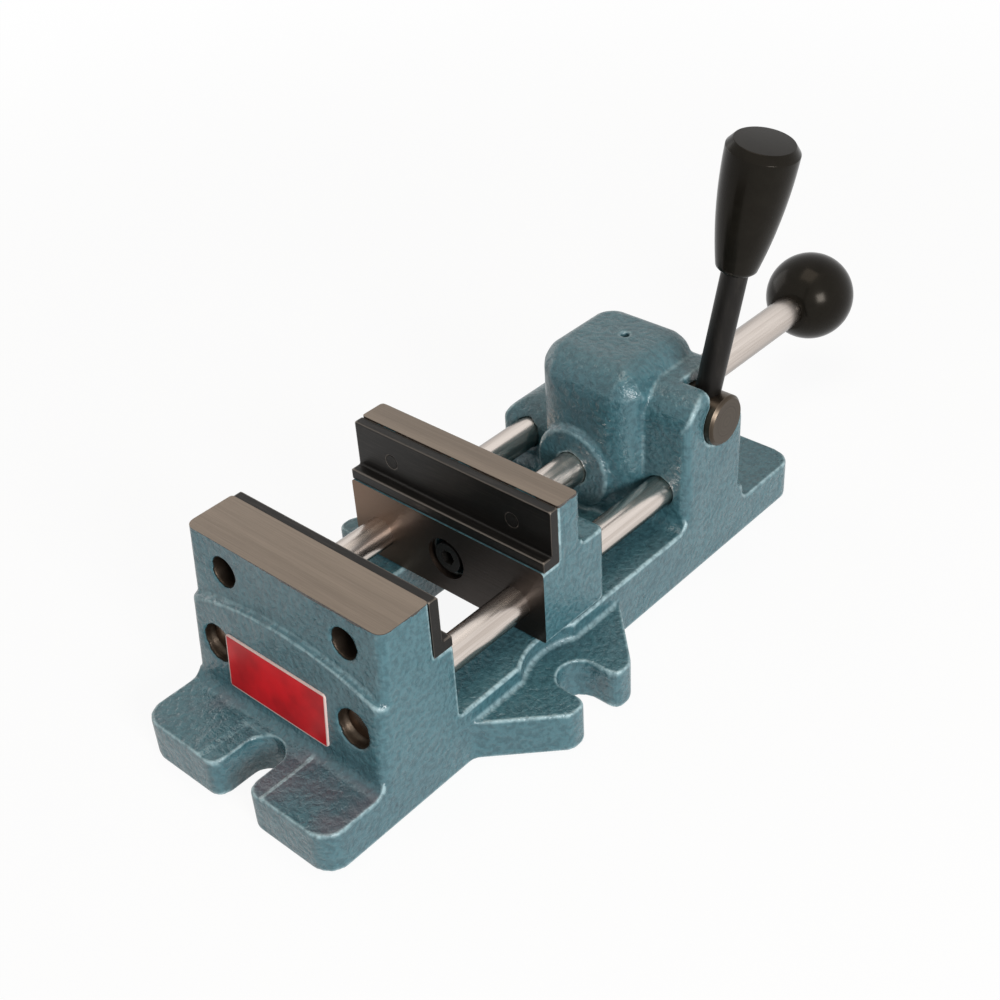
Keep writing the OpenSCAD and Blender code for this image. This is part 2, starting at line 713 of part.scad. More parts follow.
// Shoe between the eccentric and the operating shaft, lifted as the lever stands
module cam_shoe()
    color(STEEL) difference() {
        translate([-shoe_w / 2, cam_y - shoe_len / 2, shoe_crown - shoe_skirt])
            cube([shoe_w, shoe_len, shoe_top - shoe_crown + shoe_skirt]);
        bar_y(0, shoe_crown - shaft_r - shoe_gap, shaft_d + 2 * shoe_gap, cam_y - shoe_len, cam_y + shoe_len);
    }

base_casting();
fixed_jaw_plate();
fixed_plate_screws();
guide_rod_left();
guide_rod_right();
rod_set_screws();
cam_retaining_screw();
moving_jaw();
moving_jaw_plate();
moving_plate_screws();
operating_shaft();
nose_washer();
nose_screw();
ball_knob();
ball_insert();
cam_shaft();
lever_rod();
lever_grip();
lever_insert();
cam_shoe();
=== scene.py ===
# %% [markdown]
# # A drill press vise, dressed for its portrait
# The construction model gives exact solids: where every bore, rod and screw is. This lesson gives
# them their looks: soft cast edges, hammered enamel, ground iron, polished rods and moulded grips.
# Everything is in metres, in the frame of the construction model, so nothing has to be fitted.

# %% Load the construction model
import json
import math
from collections import namedtuple
from functools import reduce

import bmesh
import bpy
import numpy as np
from mathutils import Matrix, Vector


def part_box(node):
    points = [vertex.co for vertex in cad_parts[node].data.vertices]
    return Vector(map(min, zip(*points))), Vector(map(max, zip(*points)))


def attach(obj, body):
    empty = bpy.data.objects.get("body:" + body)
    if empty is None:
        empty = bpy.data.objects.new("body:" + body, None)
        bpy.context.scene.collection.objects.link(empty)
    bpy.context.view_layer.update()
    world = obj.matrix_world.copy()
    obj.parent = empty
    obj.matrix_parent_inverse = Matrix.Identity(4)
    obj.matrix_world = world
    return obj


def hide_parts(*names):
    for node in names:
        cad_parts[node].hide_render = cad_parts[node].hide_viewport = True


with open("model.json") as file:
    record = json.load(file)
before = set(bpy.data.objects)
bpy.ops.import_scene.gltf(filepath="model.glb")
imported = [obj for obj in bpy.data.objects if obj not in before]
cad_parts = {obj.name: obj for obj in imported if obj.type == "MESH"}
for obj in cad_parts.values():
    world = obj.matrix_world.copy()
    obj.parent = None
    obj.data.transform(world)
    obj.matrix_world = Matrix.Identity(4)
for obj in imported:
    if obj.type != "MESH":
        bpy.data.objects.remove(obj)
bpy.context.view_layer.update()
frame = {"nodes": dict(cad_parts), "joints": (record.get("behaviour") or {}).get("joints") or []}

NODES = frame["nodes"]
MM = 0.001

# %% [markdown]
# ## Colours
# A colour picker shows values as a screen does, and a shader works with amounts of light. Amounts
# of light are hard to picture, so a helper turns one into the other, and every colour of this
# lesson is written as it looks on a screen.


# %% Colour helper
def light_of(red, green, blue):
    """Screen colour, 0 to 255, as the amounts of light that a shader works with."""
    screen = np.array([red, green, blue], float) / 255
    low = screen / 12.92
    high = ((screen + 0.055) / 1.055) ** 2.4
    return (*np.where(screen <= 0.04045, low, high).tolist(), 1.0)


print("middle grey as light:", round(light_of(128, 128, 128)[0], 3))

# %% [markdown]
# ## The camera
# A camera fitted to the edges of the real vise gives the place, the direction and the lens. The
# three directions below are the picture's right, the picture's up and the way back to the viewer.
# A camera set by eye would never bring all lines of the jaws into place.

# %% Camera
CAMERA_AT = (0.33612, -0.26481, 0.40728)
CAMERA_RIGHT = (0.74848, 0.66091, -0.05458)
CAMERA_UP = (-0.35703, 0.47096, 0.80668)
CAMERA_BACK = (0.55885, -0.58429, 0.58847)


def show(name, data):
    """Object of a mesh, a camera or a lamp, put into the scene."""
    thing = bpy.data.objects.new(name, data)
    bpy.context.scene.collection.objects.link(thing)
    return thing


camera_data = bpy.data.cameras.new("portrait")
camera_data.sensor_width = 36.0
camera_data.lens = 53.7717
camera_data.clip_start = 0.01
camera_data.clip_end = 50.0
camera = show("portrait", camera_data)
turn = Matrix((CAMERA_RIGHT, CAMERA_UP, CAMERA_BACK)).transposed().to_4x4()
camera.matrix_world = Matrix.Translation(CAMERA_AT) @ turn
bpy.context.scene.camera = camera
print("field of view:", round(math.degrees(camera_data.angle), 1), "degrees")

# %% [markdown]
# ## Helpers for shader graphs
# A material is a graph of nodes. One could click it together, but a graph in code can be read and
# repeated. The helpers feed inputs, add a node, and start a material or a node group.

# %% Nodes, materials and groups
NODE_STEP = 200


def feed(value, socket):
    """Feeds an input socket: joins another node's output to it, or sets a plain value."""
    if isinstance(value, bpy.types.NodeSocket):
        socket.id_data.links.new(value, socket)
    else:
        socket.default_value = value


def connect(node, **named):
    """Feeds input sockets of a node by name, with _ for each space in a name."""
    for name, value in named.items():
        feed(value, node.inputs[name.replace("_", " ")])


def add(tree, kind, *ordered, settings=None, **named):
    """Adds a node beside the last one: settings are its properties, and values feed its inputs."""
    node = tree.nodes.new(kind)
    node.location.x = NODE_STEP * len(tree.nodes)
    for name, value in (settings or {}).items():
        setattr(node, name, value)
    for value, socket in zip(ordered, node.inputs):
        feed(value, socket)
    connect(node, **named)
    return node


def new_material(name, **values):
    """A material with a Principled shader, whose plain values sit on the shader's own sockets."""
    material = bpy.data.materials.new(name)
    material.use_nodes = True
    tree = material.node_tree
    tree.nodes.clear()
    shader = add(tree, "ShaderNodeBsdfPrincipled", **values)
    add(tree, "ShaderNodeOutputMaterial", Surface=shader.outputs["BSDF"])
    return material, tree, shader


def new_group(name, inputs, outputs):
    """A shader node group: inputs and outputs give the kind of each named socket."""
    tree = bpy.data.node_groups.new(name, "ShaderNodeTree")
    for direction, sockets in (("INPUT", inputs), ("OUTPUT", outputs)):
        for socket_name, kind in sockets.items():
            tree.interface.new_socket(socket_name, in_out=direction, socket_type=kind)
    return tree, add(tree, "NodeGroupInput").outputs, add(tree, "NodeGroupOutput")


print("graph helpers ready")

# %% [markdown]
# ## Helpers for masks
# A mask is a value that is 1 where something shows and 0 where it doesn't. Masks are multiplied
# for "and", the largest is taken for "or", and a ramp turns a length or a noise into a mask with
# a soft edge.


# %% Values and masks
def calculate(operation, *values):
    """Math node of one operation; each value is a socket or a plain number, and one is a socket."""
    tree = next(value.id_data for value in values if isinstance(value, bpy.types.NodeSocket))
    return add(tree, "ShaderNodeMath", *values, settings={"operation": operation}).outputs["Value"]


def scaled(value, share, base=0.0):
    """value * share + base."""
    return calculate("MULTIPLY_ADD", value, share, base)


def product(*values):
    """Several values multiplied: 1 only where all masks are 1."""
    return reduce(lambda done, value: calculate("MULTIPLY", done, value), values)


def largest(*values):
    """The largest of several values: 1 where any mask is 1."""
    return reduce(lambda done, value: calculate("MAXIMUM", done, value), values)


def inverse(mask):
    """1 - mask."""
    return calculate("SUBTRACT", 1.0, mask)


def ramp(value, low, high):
    """Smooth step from 0 at low to 1 at high, and flat beyond them."""
    node = add(value.id_data, "ShaderNodeMapRange", settings={"interpolation_type": "SMOOTHSTEP"})
    connect(node, Value=value, From_Min=low, From_Max=high)
    return node.outputs["Result"]


print("mask helpers ready")

# %% [markdown]
# ## Helpers for colours and places
# A finish is built up in coats: each blends one more colour in, by a mask. Places are read in the
# frame of the whole vise, so that a mask can be given in its sizes. A bump only tilts the light.


# %% Blends, places and bumps
def blend(share, first, second):
    """first * (1 - share) + second * share, for colours."""
    node = add(share.id_data, "ShaderNodeMix", share, settings={"data_type": "RGBA"})
    first_socket, second_socket = [socket for socket in node.inputs if socket.type == "RGBA"]
    feed(first, first_socket)
    feed(second, second_socket)
    return next(socket for socket in node.outputs if socket.type == "RGBA")


def object_place(tree):
    """The surface point in the piece's own frame, which is the frame of the whole vise."""
    return add(tree, "ShaderNodeTexCoord").outputs["Object"]


def distance(place, point):
    """Distance of a place from a fixed point."""
    node = add(place.id_data, "ShaderNodeVectorMath", place, point, settings={"operation": "DISTANCE"})
    return node.outputs["Value"]


def bump_shader(shader, height, strength, depth):
    """Gives a shader a normal bumped by a height, whose unit is depth."""
    bump = add(shader.id_data, "ShaderNodeBump", Strength=strength, Distance=depth, Height=height)
    connect(shader, Normal=bump.outputs["Normal"])


print("colour helpers ready")

# %% [markdown]
# ## Hammered enamel as one shared effect
# Hammer enamel dries with a pebbled skin, like orange peel, on iron that is itself uneven. A picture
# of such paint would stretch round the castings; noise in space never does. Slow swells, pebbles two
# millimetres wide and a fine grain make the relief. The pebbles also say where the pits are, which
# get painted shade, a slow noise where the colour leans towards plum, and a ragged one leaves dark
# dabs.

# %% Node group: hammered enamel
VALUE = "NodeSocketFloat"
VECTOR = "NodeSocketVector"
SWELL_SCALE = 55.0
PEBBLE_SCALE = 430.0
GRAIN_SCALE = 1500.0
PATCH_SCALE = 24.0
DAB_SCALE = 210.0
SWELL_SHARE = 2.2
GRAIN_SHARE = 0.22
PIT_RANGE = (0.62, 0.34)
PATCH_RANGE = (0.46, 0.7)
DAB_RANGE = (0.57, 0.7)

hammer, start, end = new_group(
    "hammered_enamel",
    {"Vector": VECTOR},
    {"Height": VALUE, "Pit": VALUE, "Patch": VALUE, "Dab": VALUE},
)


def enamel_noise(scale, **values):
    """Noise of a given scale inside the enamel group, read at the group's place."""
    return add(hammer, "ShaderNodeTexNoise", Vector=start["Vector"], Scale=scale, **values).outputs["Fac"]


swell = enamel_noise(SWELL_SCALE, Detail=1.0)
pebble = enamel_noise(PEBBLE_SCALE, Detail=3.0, Roughness=0.5, Distortion=0.25)
grain = enamel_noise(GRAIN_SCALE, Detail=2.0)
patch = enamel_noise(PATCH_SCALE, Detail=3.0, Roughness=0.62)
dab = enamel_noise(DAB_SCALE, Detail=4.0, Roughness=0.7, Distortion=0.4)
uneven = scaled(swell, SWELL_SHARE, pebble)
# Pit is 1 in the low spots of the relief, where the enamel gets painted shade.
connect(end, Height=scaled(grain, GRAIN_SHARE, uneven), Pit=ramp(pebble, *PIT_RANGE))
connect(end, Patch=ramp(patch, *PATCH_RANGE), Dab=ramp(dab, *DAB_RANGE))
print("group:", hammer.name, "with", len(hammer.nodes), "nodes")

# %% [markdown]
# ## Brushed lines as one shared effect
# A grinding wheel leaves fine parallel scratches. Nobody sees their depth, only their streaks, and
# noise that is stretched far along one direction looks just like them. Each material gives its own
# stretch, which says which way the lines run.

# %% Node group: grinding lines
lines, start, end = new_group(
    "grinding_lines",
    {"Vector": VECTOR, "Stretch": VECTOR},
    {"Lines": VALUE, "Cloud": VALUE},
)
stretched = add(lines, "ShaderNodeVectorMath", start["Vector"], start["Stretch"],
                settings={"operation": "MULTIPLY"}).outputs["Vector"]
streaks = add(lines, "ShaderNodeTexNoise", Vector=stretched, Scale=1.0, Detail=4.0, Roughness=0.65)
clouds = add(lines, "ShaderNodeTexNoise", Vector=stretched, Scale=0.04, Detail=3.0)
connect(end, Lines=streaks.outputs["Fac"], Cloud=clouds.outputs["Fac"])


def brushed(place, stretch):
    """The outputs Lines and Cloud of the grinding lines at a place, stretched along each axis."""
    settings = {"node_tree": lines}
    return add(place.id_data, "ShaderNodeGroup", settings=settings, Vector=place, Stretch=stretch).outputs


print("group:", lines.name, "with", len(lines.nodes), "nodes")

# %% [markdown]
# ## Meshes as arrays
# The solids are meshes of long triangles, exact but unfit for soft edges. With arrays of points and
# edges, numpy moves a hundred thousand points at once. Blender's own modifiers do the two jobs that
# arrays don't: a new even net, and a thinner one.

# %% Mesh helpers
WELD = 2e-6


def points_of(mesh):
    """All points of a mesh as rows of an array."""
    flat = np.empty(len(mesh.vertices) * 3, np.float32)
    mesh.vertices.foreach_get("co", flat)
    return flat.reshape(-1, 3).astype(float)


def set_points(mesh, points):
    """Moves all points of a mesh to the rows of an array."""
    mesh.vertices.foreach_set("co", points.astype(np.float32).ravel())
    mesh.update()


def edges_of(mesh):
    """All edges of a mesh as rows of two point numbers."""
    flat = np.empty(len(mesh.edges) * 2, np.int32)
    mesh.edges.foreach_get("vertices", flat)
    return flat.reshape(-1, 2)


def welded_copy(node):
    """Copy of a solid's mesh with its double points merged."""
    mesh = NODES[node].data.copy()
    welded = bmesh.new()
    welded.from_mesh(mesh)
    bmesh.ops.remove_doubles(welded, verts=welded.verts, dist=WELD)
    welded.to_mesh(mesh)
    welded.free()
    return mesh


def after_modifier(mesh, kind, **settings):
    """The mesh that a modifier makes of a mesh; the first mesh is used up."""
    holder = show("holder", mesh)
    step = holder.modifiers.new("step", kind)
    for key, value in settings.items():
        setattr(step, key, value)
    bpy.context.view_layer.update()
    graph = bpy.context.evaluated_depsgraph_get()
    result = bpy.data.meshes.new_from_object(holder.evaluated_get(graph))
    bpy.data.objects.remove(holder)
    bpy.data.meshes.remove(mesh)
    return result


print("mesh helpers ready")

# %% [markdown]
# ## Soft cast edges
# No edge of a sand casting is sharp: the sand and several coats of paint round it. A bevel fails
# where many curved faces meet. So the solid gets a fine even net, and only its sharp edges are
# relaxed, by moving each point towards its neighbours. The bend of the finished surface is kept as
# an attribute named fold, which tells where a painted highlight goes on the enamel's edges and where
# the oxide skin is worn.

# %% Relaxed edges and their fold
SHARP_FROM = 0.07
SHARP_SPAN = 0.12
SPREAD_ROUNDS = 3
RELAX_SHARE = 0.5
FOLD_ROUNDS = 2
FOLD_FULL = 0.12


def neighbour_mean(values, edges):
    """Mean of each point's neighbours along the mesh's edges, for each column of values."""
    first, second = edges.T
    size = len(values)
    count = np.bincount(edges.ravel(), minlength=size)
    columns = [np.bincount(first, column[second], size) + np.bincount(second, column[first], size)
               for column in values.T]
    return np.stack(columns, axis=1) / count[:, None]


def relax(points, edges, net, rounds):
    """Rounds sharp edges: in each round, point += share * sharpness * (mean of neighbours - point).

    Sharpness goes from 0 to 1 with the distance between a point and the mean of its neighbours,
    counted in widths of the net, and spreads a few points around."""
    bend = np.linalg.norm(neighbour_mean(points, edges) - points, axis=1) / net
    sharp = np.clip((bend - SHARP_FROM) / SHARP_SPAN, 0, 1)[:, None]
    for _ in range(SPREAD_ROUNDS):
        sharp = np.maximum(sharp, neighbour_mean(sharp, edges))
    for _ in range(rounds):
        points = points + RELAX_SHARE * sharp * (neighbour_mean(points, edges) - points)
    return points


def keep_fold(mesh, points, edges, net):
    """Keeps the bend of a mesh as the attribute fold: up to 1 on outer edges, down to -1 in corners.

    The bend is how far a point stands out of its neighbours' mean along its normal, in widths of
    the net, evened out over a few rounds."""
    normals = np.empty(len(points) * 3, np.float32)
    mesh.vertex_normals.foreach_get("vector", normals)
    pull = neighbour_mean(points, edges) - points
    fold = -np.einsum("ij,ij->i", pull, normals.reshape(-1, 3))[:, None] / net
    for _ in range(FOLD_ROUNDS):
        fold = (fold + neighbour_mean(fold, edges)) / 2
    attribute = mesh.attributes.new("fold", "FLOAT", "POINT")
    attribute.data.foreach_set("value", np.clip(fold[:, 0] / FOLD_FULL, -1, 1).astype(np.float32))


print("full fold at", FOLD_FULL, "of the net's width")

# %% [markdown]
# ## Crisp ground faces
# Some faces are ground after casting, and their edges are crisp. Keeping those edges out of the
# relaxing would need a mask along each of them. So the copy gets a little stock there first, and
# a plane cuts it off at the end, just as the grinding wheel does.

# %% Grinding
GRIND_STOCK = 2.5 * MM
Y_AXIS = 1
Z_AXIS = 2
Ground = namedtuple("Ground", "axis side level before")


def grind(mesh, ground):
    """Cuts a mesh flat at a level of one axis, where Y is less than before, and closes the cut."""
    work = bmesh.new()
    work.from_mesh(mesh)
    way = Vector([ground.side if axis == ground.axis else 0 for axis in range(3)])
    near = [face for face in work.faces if face.calc_center_median().y < ground.before]
    edges = {edge for face in near for edge in face.edges}
    corners = {corner for face in near for corner in face.verts}
    cut = bmesh.ops.bisect_plane(
        work, geom=near + list(edges) + list(corners), plane_co=way * ground.side * ground.level,
        plane_no=way, clear_outer=True)
    cut_edges = [piece for piece in cut["geom_cut"] if isinstance(piece, bmesh.types.BMEdge)]
    rim = [edge for edge in cut_edges if edge.is_boundary]
    bmesh.ops.triangle_fill(work, edges=rim, use_beauty=True, normal=way)
    bmesh.ops.recalc_face_normals(work, faces=work.faces)
    work.to_mesh(mesh)
    work.free()


def add_stock(mesh, ground):
    """Moves the points of a ground face outwards by the stock."""
    points = points_of(mesh)
    on_face = np.abs(points[:, ground.axis] - ground.level) < WELD
    on_face &= points[:, Y_AXIS] < ground.before
    points[on_face, ground.axis] += ground.side * GRIND_STOCK
    set_points(mesh, points)


print("stock for grinding:", GRIND_STOCK / MM, "mm")

# %% [markdown]
# ## Softened copies
# A copy is made in the order of the real work: stock, soft edges, grinding. In between, its net is
# thinned where it is flat, and the copy then takes the solid's place and its body.

# %% Softened copies of solids
CRISP_ANGLE = math.radians(38)


def soften(node, name, body, net, rounds, most, grounds=()):
    """Copy of a solid in a net of the given width, with its sharp edges relaxed for some rounds.

    The net is thinned to at most so many triangles, and the ground faces are cut crisp."""
    mesh = welded_copy(node)
    for ground in grounds:
        add_stock(mesh, ground)
    mesh = after_modifier(mesh, "REMESH", mode="VOXEL", voxel_size=net)
    edges = edges_of(mesh)
    points = relax(points_of(mesh), edges, net, rounds)
    set_points(mesh, points)
    keep_fold(mesh, points, edges, net)
    triangles = 2 * len(mesh.polygons)
    if triangles > most:
        mesh = after_modifier(mesh, "DECIMATE", ratio=most / triangles)
    for ground in grounds:
        grind(mesh, ground)
    mesh.shade_smooth()
    mesh.set_sharp_from_angle(angle=CRISP_ANGLE)
    mesh.materials.clear()
    piece = show(name, mesh)
    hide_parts(node)
    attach(piece, body)
    print(name, "net triangles:", triangles, "kept faces:", len(mesh.polygons))
    return piece


print("crisp from", round(math.degrees(CRISP_ANGLE)), "degrees")

# %% [markdown]
# ## The two castings
# The base with its fixed jaw and housing is one casting, and the moving jaw is another. Both are
# poured in sand, painted, and ground on top, the moving jaw on its front too. On the base only the
# fixed jaw is ground, not the taller housing behind it, so that cut ends at a limit in Y.

# %% Castings
ANYWHERE = 1.0
FIXED_JAW_END = 10 * MM
jaw_low, jaw_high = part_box("moving_jaw")
GROUND_TOP = jaw_high.z
GROUND_FRONT = jaw_low.y
fixed_top = Ground(Z_AXIS, 1, GROUND_TOP, FIXED_JAW_END)
jaw_top = Ground(Z_AXIS, 1, GROUND_TOP, ANYWHERE)
jaw_front = Ground(Y_AXIS, -1, GROUND_FRONT, ANYWHERE)
casting = soften("base_casting", "casting", "base",
                 net=0.8 * MM, rounds=6, most=185000, grounds=[fixed_top])
jaw_block = soften("moving_jaw", "jaw_block", "jaw",
                   net=0.7 * MM, rounds=5, most=120000, grounds=[jaw_top, jaw_front])

# %% [markdown]
# ## The two jaw plates
# Each jaw holds a stepped steel plate. The plates are milled, so their edges are broken by a file
# only: the net is finer and relaxed in fewer rounds.

# %% Jaw plates
fixed_plate = soften("fixed_jaw_plate", "fixed_plate", "base",
                     net=0.4 * MM, rounds=2, most=60000)
moving_plate = soften("moving_jaw_plate", "moving_plate", "jaw",
                      net=0.4 * MM, rounds=2, most=60000)

# %% [markdown]
# ## What the castings' masks read
# A mask on a casting asks where the spot is, how the enamel is there and how far the surface folds.
# The bores in the base's front are found by their distance from the middles of screws and rods,
# which the construction model gives.

# %% Spots and bores
BORE_RIM = 0.25 * MM
RECESS_RADIUS = 6.2 * MM
ROD_BORE_RADIUS = 7.8 * MM
screws_low, screws_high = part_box("fixed_plate_screws")
screw_x = screws_high.x - (screws_high.z - screws_low.z) / 2
rod_low, rod_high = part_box("guide_rod_right")
PAIRED_BORES = [
    (screw_x, (screws_low.z + screws_high.z) / 2, RECESS_RADIUS),
    ((rod_low.x + rod_high.x) / 2, (rod_low.z + rod_high.z) / 2, ROD_BORE_RADIUS),
]
Spot = namedtuple("Spot", "tree place x y z paint fold")


def spot_of(tree):
    """What the masks of a casting read: the place and its three parts, the enamel and the fold."""
    place = object_place(tree)
    parts = add(tree, "ShaderNodeSeparateXYZ", place).outputs
    paint = add(tree, "ShaderNodeGroup", settings={"node_tree": hammer}, Vector=place).outputs
    fold = add(tree, "ShaderNodeAttribute", settings={"attribute_name": "fold"}).outputs["Fac"]
    return Spot(tree, place, parts["X"], parts["Y"], parts["Z"], paint, fold)


def in_paired_bore(spot, x, z, radius):
    """1 inside two bores along Y at x and -x and the height z, 0 outside: by the squared distance."""
    across = calculate("SUBTRACT", calculate("ABSOLUTE", spot.x), x)
    upward = calculate("SUBTRACT", spot.z, z)
    square = scaled(across, across, product(upward, upward))
    return ramp(square, (radius + BORE_RIM) ** 2, radius**2)


print("bores at", [tuple(round(size / MM, 1) for size in bore) for bore in PAIRED_BORES], "mm")

# %% [markdown]
# ## Where the painted highlights go
# Glossy enamel catches the light along outer edges, in inner corners and along the seat of the front
# slot, and these highlights are painted in as pale enamel. A painter would pick those lines out with
# a brush; here masks find them. Round the bores no painted highlight is laid, so no pale line shows
# there.

# %% Masks of painted highlights
RIDGE_RANGE = (0.18, 0.78)
HOLLOW_RANGE = (-0.15, -0.9)
HOLLOW_SHARE = 0.7
SEAT_HALF = 17 * MM
SEAT_EDGE = (1.3 * MM, 0.52 * MM)
SEAT_REAR = (-36 * MM, -40 * MM)
SEAT_HEIGHT = (16.4 * MM, 17.4 * MM)
RIM_WIDTH = 1.8 * MM


def on_seat_edge(spot):
    """Painted highlight along the right edge of the washer seat in the front foot: 1 there, 0 elsewhere.
    """
    away = calculate("ABSOLUTE", calculate("SUBTRACT", spot.x, SEAT_HALF))
    return product(ramp(away, *SEAT_EDGE), ramp(spot.y, *SEAT_REAR), ramp(spot.z, *SEAT_HEIGHT))


def folds(spot):
    """Mask of the painted highlight: 1 on outer edges, a share of it in inner corners, 0 on flat faces."""
    ridge = ramp(spot.fold, *RIDGE_RANGE)
    hollow = scaled(ramp(spot.fold, *HOLLOW_RANGE), HOLLOW_SHARE)
    return largest(ridge, hollow)


def casting_folds(spot):
    """Mask of the painted highlight on the base: folds and the seat's edge, without the bores' rims."""
    rims = [in_paired_bore(spot, x, z, radius + RIM_WIDTH) for x, z, radius in PAIRED_BORES]
    outside = inverse(largest(*rims))
    return product(largest(folds(spot), on_seat_edge(spot)), outside)


print("pale from a fold of", RIDGE_RANGE[0], "or", HOLLOW_RANGE[0])

# %% [markdown]
# ## The colour of the enamel
# The grey-blue enamel is never one colour: it is darker in ragged dabs and leans towards plum in
# patches, most of all on top of the front foot. Painted shade darkens its pits, and a painted
# highlight makes it pale on edges, in inner corners and along the seat. Each of these is one blend,
# from the first coat to the last. Along a ground edge the wheel has chipped the paint, and dark iron
# shows in a ragged strip.

# %% Paint colour
ENAMEL = light_of(68, 108, 117)
# Pale enamel of the painted highlight on edges, in inner corners and along the seat.
ENAMEL_PAINTED_HIGHLIGHT = light_of(172, 200, 206)
# Dark enamel: painted shade in the pits, and the colour of the ragged dabs.
ENAMEL_SHADE_AND_DAB = light_of(34, 66, 75)
ENAMEL_PLUM = light_of(88, 84, 92)
PIT_SHADE_SHARE = 0.48
DAB_LEAST = 0.2
DAB_SPREAD = 0.7
PLUM_LEAST = 0.12
PLUM_ON_FOOT = 0.65
LEVEL_RANGE = (0.6, 0.95)
FOOT_REAR = (-26 * MM, -36 * MM)
HIGHLIGHT_MOST = 0.78
HIGHLIGHT_LOSS = 0.42
CHIP_DEPTH = 1.3 * MM
CHIP_LEAST = 0.3
CHIP_RANGE = (1.4, 2.0)
GRIND_DEPTH = 0.05 * MM


def on_foot(spot):
    """1 on level faces of the front foot, 0 elsewhere."""
    normal = add(spot.tree, "ShaderNodeTexCoord").outputs["Normal"]
    upward = add(spot.tree, "ShaderNodeSeparateXYZ", normal).outputs["Z"]
    return product(ramp(upward, *LEVEL_RANGE), ramp(spot.y, *FOOT_REAR))


def paint_colour(spot, highlighted):
    """Enamel with dabs, plum patches, painted shade in its pits and a painted highlight by the mask."""
    paint = spot.paint
    # Painted shade in the pits of the relief.
    colour = blend(scaled(paint["Pit"], PIT_SHADE_SHARE), ENAMEL, ENAMEL_SHADE_AND_DAB)
    dabs = product(paint["Dab"], scaled(paint["Patch"], DAB_SPREAD, DAB_LEAST))
    colour = blend(dabs, colour, ENAMEL_SHADE_AND_DAB)
    plum = product(paint["Patch"], scaled(on_foot(spot), PLUM_ON_FOOT, PLUM_LEAST))
    colour = blend(plum, colour, ENAMEL_PLUM)
    # Painted highlight: pale enamel where the mask says, less of it in the pits.
    pale = product(highlighted, scaled(paint["Pit"], -HIGHLIGHT_LOSS, HIGHLIGHT_MOST))
    return blend(pale, colour, ENAMEL_PAINTED_HIGHLIGHT)


def chipped(spot):
    """1 in a strip below the ground top, whose depth follows the relief of the enamel, 0 elsewhere."""
    uneven = ramp(spot.paint["Height"], *CHIP_RANGE)
    ragged = scaled(uneven, 1 - CHIP_LEAST, CHIP_LEAST)
    reach = scaled(ragged, CHIP_DEPTH, spot.z)
    return ramp(reach, GROUND_TOP, GROUND_TOP + 2 * GRIND_DEPTH)


print("enamel as light:", [round(part, 3) for part in ENAMEL[:3]])

# %% [markdown]
# ## Bare iron
# Three kinds of bare iron show: the ground tops with their fine lines, the dark bores in the base's
# front, and the moving jaw's front with the recess for its screw. That front is darker than the tops,
# as painted shade, and carries a painted brown reflection on the left. Each could be a material of its
# own on its faces; masks by place need no choice of faces.

# %% Iron colours
GROUND_IRON = light_of(136, 123, 110)
GROUND_DARK = light_of(112, 101, 90)
BORE_IRON = light_of(74, 64, 54)
# Ground iron of the moving jaw's front, much darker than the tops: painted shade between the jaws.
FACE_IRON_SHADE = light_of(52, 44, 39)
# Brown of the rods' rusted ends, and of a painted reflection on the left of the moving jaw's front.
BROWN_RUST_AND_REFLECTION = light_of(114, 92, 76)
LINE_RANGE = (0.3, 0.72)
CLOUD_RANGE = (0.3, 0.7)
BROWN_REFLECTION_RANGE = (5 * MM, -50 * MM)
BORE_REAR = 0.0
nose_low, nose_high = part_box("nose_washer")
NOSE_AT = (0.0, GROUND_FRONT, (nose_low.z + nose_high.z) / 2)
NOSE_RECESS = (nose_high.x - nose_low.x) / 2 + 1.6 * MM


def ground_iron(wheel):
    """Colour of a ground top: the mean of lines and clouds leads from the dark tone to the light one."""
    streak = ramp(wheel["Lines"], *LINE_RANGE)
    cloud = ramp(wheel["Cloud"], *CLOUD_RANGE)
    mean = scaled(calculate("ADD", streak, cloud), 0.5)
    return blend(mean, GROUND_DARK, GROUND_IRON)


def bore_iron(spot):
    """Mask and colour of the bores in front of the fixed jaw's plate."""
    bores = [in_paired_bore(spot, *bore) for bore in PAIRED_BORES]
    ahead = ramp(spot.y, BORE_REAR + MM, BORE_REAR)
    return product(largest(*bores), ahead), BORE_IRON


def front_iron(spot):
    """Mask and colour of the moving jaw's front and screw recess, in painted shade and painted reflection.
    """
    face = ramp(spot.y, GROUND_FRONT + 2 * GRIND_DEPTH, GROUND_FRONT + GRIND_DEPTH)
    recess = ramp(distance(spot.place, NOSE_AT), NOSE_RECESS + MM, NOSE_RECESS)
    # A painted brown reflection on the left of the moving jaw's front.
    brown_reflection = ramp(spot.x, *BROWN_REFLECTION_RANGE)
    return largest(face, recess), blend(brown_reflection, FACE_IRON_SHADE, BROWN_RUST_AND_REFLECTION)


print("recess radius:", round(NOSE_RECESS / MM, 1), "mm")

# %% [markdown]
# ## Enamelled castings
# Both castings are painted all over and then ground where the work is held, so one material holds
# both finishes, and the mask of bare iron chooses between them: for colour, metal, gloss and relief.
# The enamel is a glossy paint, a little duller in patches.

# %% Enamel materials
CHIPPED_IRON = light_of(56, 48, 42)
ENAMEL_ROUGH = 0.22
PATCH_ROUGH = 0.12
IRON_ROUGH = 0.4
IRON_METAL = 0.85
SCRATCH_SHARE = 0.1
TOP_STRETCH = (40.0, 2600.0, 1800.0)


